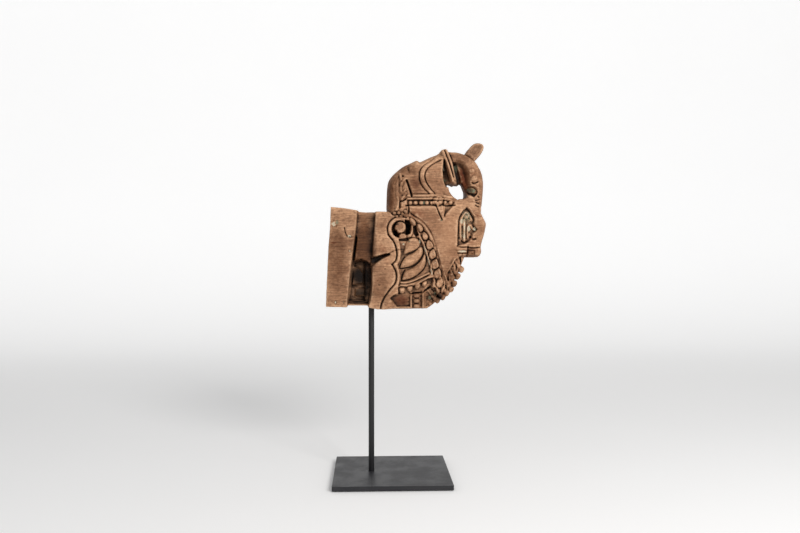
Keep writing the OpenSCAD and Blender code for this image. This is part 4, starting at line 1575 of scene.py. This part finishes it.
    def flank(self, side: Flank, x: Array, z: Array, half: Array) -> Array:
        """One flank's half-thickness with all marks and its own hand-made unevenness.

        Args:
            side: which flank.
            x: the grid's x.
            z: the grid's z.
            half: the uncarved half-thickness.
        Returns:
            The carved half-thickness.
        """
        shape = SideMap(x, z, half.copy())
        seed = 40 if side is Flank.RIGHT else 60
        shape.add_noise(0.40, (26.0, 18.0), seed)
        for mark in self.marks():
            {Stroke: shape.stroke, Patch: shape.patch, Bead: shape.bead}[type(mark)](mark)
        shape.add_noise(0.22, (11.0, 5.0), seed + 1)
        shape.add_noise(0.13, (15.0, 1.6), seed + 2)
        shape.soften(1)
        return shape.half

    # -- solid --

    TASSELS = [((87.0, 301.5), (95.2, 290.0)), ((82.5, 292.0), (90.8, 279.9)), ((78.0, 282.5), (86.4, 270.2)),
               ((73.5, 274.0), (81.6, 262.4)), ((68.5, 266.0), (76.0, 257.6)), ((62.0, 259.0), (69.6, 252.0)),
               ((55.0, 253.0), (62.4, 247.4))]

    def add_tassels(self, lattice: Lattice) -> None:
        """Rows of tassels across the chest: a thin stem, a collar and a bead, none quite alike.

        Args:
            lattice: the solid so far.
        """
        rng = np.random.default_rng(9)
        fillet = self.chisel_fillet
        for row, (root, tip) in enumerate(self.TASSELS):
            for y in np.linspace(-self.tassel_spread, self.tassel_spread, 9 - row % 2):
                dx, dz, dy = rng.uniform(-1.0, 1.0, 3) * (0.7, 0.9, 0.8)
                end = (tip[0] + dx, y + dy * (abs(y) < 25.0), tip[1] + dz)
                middle = tuple(0.45 * a + 0.55 * b for a, b in zip((root[0], y, root[1]), end))
                lattice.capsule((root[0], y, root[1]), end, 2.0, 1.6, fillet)
                lattice.capsule(middle, (middle[0], middle[1], middle[2] - 0.4), 2.7, 2.7, 0.3)
                lattice.capsule((end[0] + 0.4, end[1], end[2] + 0.6),
                                (end[0] - 0.2, end[1], end[2] - 1.4), 3.4, 2.9, fillet)

    def part_forelegs(self, lattice: Lattice) -> None:
        """Opens the space between the two folded legs from the front.

        Args:
            lattice: the solid so far.
        """
        cut, x, y, z = lattice.part((100, -14, 288), (134, 14, 366))
        side = np.broadcast_arrays(x[:, 0, :], z[0, :, :])
        plan = inside_distance(*side, np.array(self.LEG_PARTING, float))
        gap = smooth_max(np.abs(y) - self.leg_gap / 2, -plan[:, None, :], 2.0)
        lattice.remove(cut, gap, 1.6)

    def carve_front(self, lattice: Lattice) -> None:
        """Two lines down the face, folds round the muzzle, nostrils and a combed forelock.

        Args:
            lattice: the solid so far.
        """
        spine = smooth_curve(self.FACE[1:], 2)
        fillet = self.chisel_fillet
        for y in (-self.face_line_y, self.face_line_y):
            for (x0, z0), (x1, z1) in zip(spine[:-5], spine[1:-4]):
                lattice.capsule((x0 + 0.5, y, z0), (x1 + 0.5, y, z1), 1.9, 1.9, fillet, hollow=True)
            lattice.capsule((126.0, y * 1.25, 374.6), (120.5, y * 1.25, 374.0), 2.3, 1.2, fillet,
                            hollow=True)
        for z in (390.4, 386.2, 381.6):
            x = float(np.interp(z, spine[::-1, 1], spine[::-1, 0])) + 0.6
            lattice.capsule((x, -15.0, z), (x, 15.0, z), 1.4, 1.4, fillet, hollow=True)
        for y in (-7.0, -3.5, 0.0, 3.5, 7.0):
            lattice.capsule((103.0, y, 448.8), (117.0, 0.7 * y, 439.4), 1.2, 1.2, fillet, hollow=True)

    def comb_mane(self, lattice: Lattice) -> None:
        """Combs waved lines into the back of the mane: a cosine across it, lower on its rims.

        Args:
            lattice: the solid so far.
        """
        cut, x, y, z = lattice.part((-9, -34, 368.5), (60, 34, 452))
        behind = ramp((14.0 + 0.75 * np.maximum(z - 400.0, 0.0) - x) / 8.0) * ramp((z - 368.5) / 6.0)
        wave = np.cos(2.0 * math.pi * (y + 1.6 * np.sin(z / 9.0) + 1.2 * np.sin(x / 8.0)) / self.comb_pitch)
        inner = ramp((25.0 - np.abs(y)) / 5.0)
        lattice.field[cut] -= (self.comb_depth * wave * behind * inner).astype(np.float32)

    def bore_sockets(self, lattice: Lattice) -> None:
        """Bores the hole for the post's sleeve and the two holes for the ears' pegs.

        Args:
            lattice: the solid so far.
        """
        up = (0.0, 0.0, 1.0)
        low, high = self.sleeve_span
        lattice.bore((DRAWN_POST_X, 0.0, 230.0), up, low - 230.0 + 0.5, self.mouth_radius)
        lattice.bore((DRAWN_POST_X, 0.0, low), up, high - low, self.sleeve_radius + 0.1)
        lean = math.radians(self.ear_lean)
        way = (math.sin(lean), 0.0, math.cos(lean))
        for y in (-self.ear_y, self.ear_y):
            foot = (self.ear_foot[0] - self.peg_length * way[0], y,
                    self.ear_foot[1] - self.peg_length * way[2])
            lattice.bore(foot, way, self.peg_length + 1.0, self.peg_radius)

    def roughen(self, points: Array, normals: Array, edge: Array) -> Array:
        """Moves points along their normals: slow waves, fibres along x, and chips off edges.

        Args:
            points: places as drawn.
            normals: their normals.
            edge: 0 on faces to 1 on sharp edges.
        Returns:
            The moved places.
        """
        rise = 0.16 * value_noise(points, (9.0, 7.0, 7.0), 11)
        rise += 0.08 * value_noise(points, (18.0, 1.3, 1.3), 12)
        rise += 0.05 * value_noise(points, (2.2, 2.2, 2.2), 13)
        chips = np.maximum(0.0, value_noise(points, (7.0, 4.0, 4.0), 14) - 0.15)
        rise -= edge * (1.5 * chips + 0.25 * np.maximum(0.0, value_noise(points, (2.5, 1.6, 1.6), 15)))
        return points + normals * rise[:, None]

    def build(self) -> bpy.types.Object:
        """Sculpts the carving.

        Returns:
            The finished mesh object, with the attributes that its finish reads.
        """
        lattice = Lattice(self.low_corner, self.high_corner, self.pitch)
        x, z = lattice.side_grid()
        depth, half = self.region_maps(x, z)
        right, left = (self.flank(side, x, z, half) for side in (Flank.RIGHT, Flank.LEFT))
        edge = self.board_edge + (self.chest_edge - self.board_edge) * ramp((x + 20.0) / 30.0)
        lattice.fill(depth, right, left, edge)
        self.add_tassels(lattice)
        self.part_forelegs(lattice)
        self.carve_front(lattice)
        self.comb_mane(lattice)
        self.bore_sockets(lattice)
        lattice.unpinch()
        points, quads = largest_shell(*lattice.skin())
        obj = mesh_object("carved_horse_wood", points * MM, quads)
        corner = 1.0 - ramp((lattice.crowding(points, 2.0) - 0.24) / 0.16)
        moved = self.roughen(points, normals_of(obj.data), corner)
        obj.data.vertices.foreach_set("co", (moved * MM).astype(np.float32).ravel())
        obj.data.update()
        thin(obj, self.most_triangles)
        drawn = points_of(obj.data) / MM
        set_attribute(obj.data, "crowding_fine", lattice.crowding(drawn, 2.4))
        set_attribute(obj.data, "crowding_wide", lattice.crowding(drawn, 7.0))
        for stain in Stain:
            set_attribute(obj.data, stain.value, self.stained(drawn, stain))
        obj.data.vertices.foreach_set("co", self.to_world(drawn).astype(np.float32).ravel())
        obj.data.update()
        return obj

    # -- stains --

    SPOTS = {
        # Pale remains of pigment, except the bud spots below, which are painted highlights.
        Stain.CREAM: [
            (-57.8, 335.2, 2.6, 1.8), (-79.5, 351.5, 3.4, 3.4, 0.9), (-57.4, 315.3, 1.8, 1.6, 0.8),
            (-77, 245, 1.3, 2.2, 0.9), (-66, 245, 1.2, 1.7, 0.8), (102, 365, 6.5, 6, 0.5),
            (96, 356, 2.6, 3.6), (99.4, 349, 1.4, 8, 0.75), (99.3, 335, 1.4, 6, 0.75),
            (105.5, 346, 2.6, 4), (96, 314.6, 6, 1.5, 0.95), (113.4, 345.4, 2.6, 2.6, 0.9),
            # The three spots at x 56, 59 and 62.6 are painted highlights on the tops of the buds.
            (56, 311, 1.5, 4, 0.5), (59, 298, 1.5, 4, 0.5), (62.6, 285, 1.5, 4, 0.5),
            (45.6, 316, 0.9, 7.5, 0.85, -16), (50.2, 301.5, 0.9, 7.5, 0.85, -15),
            (53.9, 287, 0.9, 6, 0.8, -13), (15.4, 324.6, 2.4, 1.4), (38.2, 328, 1.2, 2.4),
            (36, 322, 1.2, 1.2, 0.8), (72, 287, 1.1, 1.1), (72.2, 428, 1, 6.5, 0.9, -12),
            (25, 263, 2, 2, 0.45), (96, 335, 5, 9, 0.4), (84, 283, 4, 7, 0.38), (15, 396, 2.4, 9, 0.3)],
        Stain.VERDIGRIS: [
            (89.2, 429.5, 3, 5.6), (73.2, 413, 2.4, 2.8), (110, 398, 6, 3.8, 0.72),
            (112, 397, 2.6, 2.2, 0.95), (105.4, 400, 2, 2, 0.8), (44, 381.2, 1.8, 2),
            (114.4, 344, 2, 1.8, 0.8), (103, 361, 7.5, 9, 0.62), (15.6, 325, 3.2, 2, 0.7),
            (38.2, 329, 2, 3, 0.7), (24, 328, 2.2, 1.6, 0.65), (67.6, 357.4, 1.6, 1.6),
            (-75, 354, 3.2, 3.6, 0.7), (98, 340, 7, 10, 0.5), (71, 433, 2, 5, 0.6),
            (25, 428, 5, 3, 0.42), (52, 251, 2.4, 3, 0.85), (59.4, 257.4, 2, 2.2, 0.8)],
        # Painted shade, near black: the mortise and cross groove, the shoulder's slot, the scroll's holes,
        # the head's hollow, the eye's lid line and other deep places.
        Stain.SOOT: [
            (110, 393, 5, 1.8, 0.8), (109.4, 398.4, 2.2, 2, 0.5), (-22, 302.5, 10, 4, 0.97, -24),
            (90, 418, 3.4, 15, 1, -16), (5, 339, 2.8, 3.6, 0.9), (22.6, 347, 2.8, 7.5, 0.9),
            (-42, 296, 12, 6, 1), (-36, 276, 8, 24, 1), (-46, 247, 14, 5), (-46, 266.5, 12, 3),
            (-46, 280, 10, 14), (-42, 257, 13, 10), (-28, 325, 6, 44, 0.55), (-38, 318, 14, 32, 0.26),
            (74, 409, 2.2, 5, 0.7), (31.5, 343, 2, 4, 0.7), (54, 255, 6, 8, 0.35),
            (7.5, 352, 3.4, 1.4, 0.8), (108, 316.2, 4, 1.2, 0.7), (65, 252.5, 4, 4.4, 0.9)],
        Stain.RUST: [
            (99, 413, 6.5, 18, 1.2, -8), (-79.5, 326, 3.2, 1.2, 1), (33, 366, 10, 6, 0.45),
            (31, 405, 5, 9, 0.5), (12, 248, 9, 6, 0.85), (33, 254, 5, 3, 0.6), (114, 317, 6, 2.6, 0.5),
            (117, 364, 3, 2.4, 0.55), (110, 331, 4, 6, 0.4), (-10, 311, 15, 3.5, 0.5, 70),
            (57, 275, 4, 3, 0.7), (-25, 330, 1.2, 2.5, 0.9), (109, 318.4, 4.4, 1.1, 1)],
        Stain.BARE: [
            (82, 340, 16, 34, 0.85), (118, 340, 5, 16, 0.6)],
        # Darker patches, partly a darker, dirtier old surface and partly painted shade: among them the end
        # board, the cross groove, the mane's left column, the eye and the lower chest.
        Stain.PATINA: [
            (-75, 310, 14, 40, 0.82), (-72, 262, 16, 24, 0.5), (-66, 358, 18, 10, 0.3),
            (-38, 315, 15, 44, 1.3), (-38, 358, 14, 12, 0.75), (-2, 390, 6.5, 24, 1),
            (8, 402, 12, 18, 0.65), (20, 428, 18, 8, 0.7, 20), (33, 405, 11, 14, 0.85),
            (-14, 350, 11, 9, 0.35), (-15, 268, 12, 24, 0.5), (12, 248, 14, 9, 0.9),
            (36, 252, 14, 14, 0.7), (95, 444, 20, 7, 0.62), (98, 413, 8, 18, 0.45), (110, 398, 8, 7, 1),
            (119, 345, 8, 10, 0.35), (107, 313, 8, 6, 0.95), (84, 278, 11, 17, 0.8, -30),
            (66, 252, 12, 9, 0.8), (55, 247, 9, 12, 0.7), (12, 365, 12, 5, 0.6), (124, 400, 5, 30, 0.4),
            (84, 316, 8, 8, 0.3)],
    }

    def stained(self, drawn: Array, stain: Stain) -> Array:
        """Strength of one stain at each point: the strongest spot there, full in a spot's inner
        half and gone at one and a half times its size, less on the left flank.

        Args:
            drawn: places as drawn.
            stain: which stain.
        Returns:
            Strengths, 0 for none.
        """
        total = np.zeros(len(drawn))
        for spot in (Spot(*sizes) for sizes in self.SPOTS[stain]):
            turn = math.radians(spot.turn)
            dx, dz = drawn[:, 0] - spot.x, drawn[:, 2] - spot.z
            a = (dx * math.cos(turn) - dz * math.sin(turn)) / spot.half_x
            b = (dx * math.sin(turn) + dz * math.cos(turn)) / spot.half_z
            total = np.maximum(total, spot.strength * ramp(1.5 - np.hypot(a, b)))
        flank = ramp((np.abs(drawn[:, 1]) - 4.0) / 6.0)
        return total * flank * np.where(drawn[:, 1] < 0.0, 1.0, 0.85)


@dataclass
class Ear:
    """One leaf-shaped ear on a round peg, hollowed on its outer side."""

    carving: HorseCarving
    side: Flank
    thickness: float = 13.0
    peg_radius: float = 3.5
    cup: float = 3.4                # depth of the hollow
    pitch: float = 0.42
    OUTLINE = [(-8.2, -1.2), (-8.9, 8), (-8.5, 14), (-6.8, 19.6), (-2.8, 23.6), (1.2, 25.4), (5.0, 24.7),
               (7.6, 21.8), (9.0, 16.5), (9.3, 9), (8.4, -1.2)]

    def build(self) -> bpy.types.Object:
        """Sculpts the ear upright at its root, then leans it and puts it on the head.

        Returns:
            The finished mesh object.
        """
        name = f"{self.side.name.lower()}_ear_wood"
        lattice = Lattice((-11.5, -8.6, -11.0), (11.5, 8.6, 26.0), self.pitch)
        x, z = lattice.side_grid()
        depth = inside_distance(x, z, smooth_curve(self.OUTLINE, 6))
        body = 0.5 * self.thickness * (0.34 + 0.66 * dome(depth / 6.5))
        outer = body - self.cup * ramp((depth - 1.0) / 5.6) * ramp((z - 1.0) / 8.0)
        outer -= 0.5 * np.exp(-((x - 2.5 + 0.12 * z) / 0.9) ** 2) * ramp((z - 4.0) / 4.0)
        rest = [value_noise(np.stack([x, z], -1), (6.0, 4.0), s) * 0.18 for s in (71, 72)]
        flanks = (outer + rest[0], body + rest[1])
        if self.side is Flank.LEFT:
            flanks = flanks[::-1]
        lattice.fill(depth, *flanks, np.full_like(x, 1.4))
        peg = self.carving.peg_length - 0.5
        lattice.capsule((0.0, 0.0, -peg + self.peg_radius), (0.0, 0.0, 2.0), self.peg_radius,
                        self.peg_radius, 0.3)
        points, quads = lattice.skin()
        obj = mesh_object(name, points * MM, quads)
        points += normals_of(obj.data) * (0.12 * value_noise(points, (3.0, 3.0, 7.0), 73)
                                          + 0.05 * value_noise(points, (1.1, 1.1, 9.0), 74))[:, None]
        set_attribute(obj.data, "crowding_fine", lattice.crowding(points, 1.8))
        set_attribute(obj.data, "crowding_wide", lattice.crowding(points, 4.0))
        # Darker towards the ear's lower back, as painted shade where it turns from the light, and a little
        # towards its front and back edges; both go on the darker-patch attribute.
        low = ramp((15.0 - np.hypot(points[:, 0] + 6.0, points[:, 2] - 3.0)) / 12.0)
        rim = ramp((np.abs(points[:, 0]) - 3.0) / 6.0)
        for stain in Stain:
            amount = np.maximum(0.5 * low, 0.2 * rim) if stain is Stain.PATINA else np.zeros(len(points))
            set_attribute(obj.data, stain.value, amount)
        lean = math.radians(self.carving.ear_lean)
        foot = self.carving.ear_foot
        drawn = np.column_stack([
            foot[0] + points[:, 0] * math.cos(lean) + points[:, 2] * math.sin(lean),
            points[:, 1] + self.side.value * self.carving.ear_y,
            foot[1] - points[:, 0] * math.sin(lean) + points[:, 2] * math.cos(lean)])
        obj.data.vertices.foreach_set("co", self.carving.to_world(drawn).astype(np.float32).ravel())
        obj.data.update()
        return obj


# ---- the stand ----


@dataclass
class Stand:
    """Base plate and post, rounded from the shapes that the frame gives."""

    nodes: dict[str, bpy.types.Object]
    plate_edge: float = 0.0005      # rounding of the plate's edges, in metres
    post_edge: float = 0.0003

    def rounded_copy(self, node: str, name: str, edge: float) -> bpy.types.Object:
        """A copy of a node with its points merged and its sharp edges rounded.

        Args:
            node: the CAD node.
            name: the new object's name.
            edge: width of the rounding.
        Returns:
            The copy, with its modifiers applied.
        """
        mesh = self.nodes[node].data.copy()
        mesh.materials.clear()
        obj = bpy.data.objects.new(name, mesh)
        bpy.context.scene.collection.objects.link(obj)
        weld = obj.modifiers.new("weld", "WELD")
        weld.merge_threshold = 1e-6
        apply_modifiers(obj)
        flat = obj.modifiers.new("flat", "DECIMATE")
        flat.decimate_type = "DISSOLVE"
        flat.angle_limit = math.radians(0.5)
        bevel = obj.modifiers.new("bevel", "BEVEL")
        bevel.width = edge
        bevel.segments = 3
        bevel.limit_method = "ANGLE"
        bevel.angle_limit = math.radians(40)
        bevel.harden_normals = False
        close = obj.modifiers.new("close", "WELD")
        close.merge_threshold = 1e-5
        apply_modifiers(obj)
        return obj

    def build(self) -> dict[str, bpy.types.Object]:
        """Makes the rounded plate and post, listed by the node that each stands for."""
        return {"base_plate": self.rounded_copy("base_plate", "plate_coated", self.plate_edge),
                "post": self.rounded_copy("post", "post_blackened", self.post_edge)}


# ---- the studio ----


@dataclass
class Studio:
    """Pale sweep, soft light from the front right, and the camera."""

    camera_place: Triple = (-0.0306, -1.099, 0.300)
    camera_yaw: float = 2.23        # towards the horse's front, in degrees
    camera_pitch: float = -0.33     # below the horizon, in degrees
    lens: float = 35.2
    sweep_start: float = 1.5        # where the floor begins to rise behind the object
    sweep_radius: float = 2.5
    key_place: Triple = (0.85, -1.65, 1.10)
    key_size: float = 0.70
    key_power: float = 29.0
    sky: float = 0.55
    beyond: float = 0.93            # brightness of what shows past the paper's edge
    glow: float = 0.36              # extra light from the paper far behind

    def build_floor(self) -> bpy.types.Object:
        """The floor and the curved backdrop: a flat run, then a quarter circle, along y."""
        flat = np.linspace(-6.0, self.sweep_start, 40)
        turn = np.linspace(0.0, math.pi / 2, 40)[1:]
        y = np.concatenate([flat, self.sweep_start + self.sweep_radius * np.sin(turn)])
        z = np.concatenate([np.zeros(40), self.sweep_radius * (1.0 - np.cos(turn))])
        x = np.linspace(-7.0, 7.0, 30)
        grid_x, grid_y = np.meshgrid(x, y, indexing="ij")
        grid_z = np.broadcast_to(z, grid_y.shape)
        points = np.stack([grid_x, grid_y, grid_z], -1).reshape(-1, 3)
        i, j = np.meshgrid(np.arange(len(x) - 1), np.arange(len(y) - 1), indexing="ij")
        base = (i * len(y) + j).ravel()
        quads = np.stack([base, base + len(y), base + len(y) + 1, base + 1], 1)
        floor = mesh_object("studio_floor", points, quads)
        material, n, shader = start_material("pale_paper")
        place = n.add("ShaderNodeTexCoord").outputs["Object"]
        cloud = n.noise(place, 1.3, 3.0)
        n.tree.links.new(n.mix(cloud, rgba((246, 246, 246)), rgba((250, 250, 250))),
                         shader.inputs["Base Color"])
        # The paper glows more the farther behind it lies: painted light that brightens the backdrop and also
        # lights the scene.
        apart = n.add("ShaderNodeSeparateXYZ", in_0=place)
        behind = n.span(apart.outputs[1], 0.2, 3.2)
        n.tree.links.new(n.mix(behind, (0.0, 0.0, 0.0, 1.0), (self.glow, self.glow, self.glow, 1.0)),
                         shader.inputs["Emission Color"])
        shader.inputs["Emission Strength"].default_value = 1.0
        shader.inputs["Roughness"].default_value = 0.9
        shader.inputs["Specular IOR Level"].default_value = 0.1
        dress(floor, material)
        return floor

    def build_light(self) -> None:
        """One large soft lamp aimed at the carving, in a bright even surround."""
        lamp = bpy.data.lights.new("key", "AREA")
        lamp.shape = "SQUARE"
        lamp.size = self.key_size
        lamp.energy = self.key_power
        lamp.color = (1.0, 0.985, 0.965)
        obj = bpy.data.objects.new("key", lamp)
        obj.location = self.key_place
        aim = np.array([0.02, 0.0, 0.33]) - np.array(self.key_place)
        flat = math.hypot(aim[0], aim[1])
        obj.rotation_euler = (math.pi / 2 + math.atan2(aim[2], flat), 0.0, math.atan2(-aim[0], aim[1]))
        bpy.context.scene.collection.objects.link(obj)
        world = bpy.data.worlds.new("surround")
        world.use_nodes = True
        tree = world.node_tree
        shades = [tree.nodes["Background"], tree.nodes.new("ShaderNodeBackground")]
        for shade, strength in zip(shades, (self.sky, self.beyond)):
            shade.inputs["Color"].default_value = (1.0, 1.0, 1.0, 1.0)
            shade.inputs["Strength"].default_value = strength
        pick = tree.nodes.new("ShaderNodeMixShader")
        seen = tree.nodes.new("ShaderNodeLightPath").outputs["Is Camera Ray"]
        for place, source in enumerate((seen, shades[0].outputs[0], shades[1].outputs[0])):
            tree.links.new(source, pick.inputs[place])
        tree.links.new(pick.outputs[0], tree.nodes["World Output"].inputs["Surface"])
        bpy.context.scene.world = world

    def build_camera(self) -> None:
        """The camera at eye height before the object, with no shift and no depth of field."""
        data = bpy.data.cameras.new("camera")
        data.lens = self.lens
        data.sensor_width = 36.0
        data.clip_start = 0.02
        obj = bpy.data.objects.new("camera", data)
        obj.location = self.camera_place
        obj.rotation_euler = (math.radians(90.0 + self.camera_pitch), 0.0, math.radians(-self.camera_yaw))
        bpy.context.scene.collection.objects.link(obj)
        bpy.context.scene.camera = obj

    def build(self) -> None:
        """Makes floor, light and camera, and shows colours without a film curve."""
        self.build_floor()
        self.build_light()
        self.build_camera()
        bpy.context.scene.view_settings.view_transform = "Standard"


# ---- assembly ----


def report(obj: bpy.types.Object) -> None:
    """Logs a piece's name, its triangles and its size in millimetres.

    Args:
        obj: the piece.
    """
    points = points_of(obj.data)
    triangles = sum(len(p.vertices) - 2 for p in obj.data.polygons)
    size = np.round(np.ptp(points, axis=0) / MM, 1)
    LOG.info("%s: %d triangles, %s mm", obj.name, triangles, size.tolist())


def main() -> None:
    """Builds the carving, its ears and its stand round the frame, then the studio."""
    logging.basicConfig(level=logging.INFO, format="%(name)s %(message)s")
    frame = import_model()
    low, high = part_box("carved_horse")
    post_low, post_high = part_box("post")
    sleeve_low, sleeve_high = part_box("post_sleeve")
    scale = (high.z - low.z) / (DRAWN_HEIGHT * MM)
    drawn = [(v - low.z) / (scale * MM) + DRAWN_UNDERSIDE for v in (sleeve_low.z, sleeve_high.z)]
    carving = HorseCarving(
        underside=low.z, post_x=(post_low.x + post_high.x) / 2, scale=scale,
        sleeve_radius=(sleeve_high.x - sleeve_low.x) / 2 / (scale * MM),
        sleeve_span=(drawn[0], drawn[1]), pitch=0.6)
    grain, wear = grain_group(), wear_and_shade_group()
    wood = AgedWood("aged_wood").build(grain, wear)
    ear_wood = AgedWood("ear_wood", light=(196, 154, 120), middle=(150, 114, 88)).build(grain, wear)
    pieces = {"carved_horse": (carving.build(), wood)}
    for side in Flank:
        pieces[f"{side.name.lower()}_ear"] = (Ear(carving, side).build(), ear_wood)
    stand = Stand(frame["nodes"]).build()
    plate_coat = CoatedSteel("plate_coat", coat=(29, 29, 33), dust=(54, 53, 53)).build(wear)
    post_black = CoatedSteel("post_black", coat=(19, 19, 21), dust=(42, 42, 44), rough=0.42,
                             peel=2200.0, brushed=True).build(wear)
    pieces["base_plate"] = (stand["base_plate"], plate_coat)
    pieces["post"] = (stand["post"], post_black)
    bodies = {node: body for body, members in frame["record"]["behaviour"]["bodies"].items()
              for node in members}
    for node, (obj, material) in pieces.items():
        dress(obj, material)
        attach(obj, bodies[node])
        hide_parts(node)
        report(obj)
    kept = {"post_sleeve": BareMetal("sleeve_brass", (181, 150, 84), (120, 92, 50)).build(wear),
            "base_screw": BareMetal("screw_steel", (150, 150, 152), (96, 92, 90)).build(wear),
            "base_felt": Felt("felt").build()}
    for node, material in kept.items():
        dress(frame["nodes"][node], material)
        report(frame["nodes"][node])
    Studio().build()


if __name__ == "__main__":
    main()
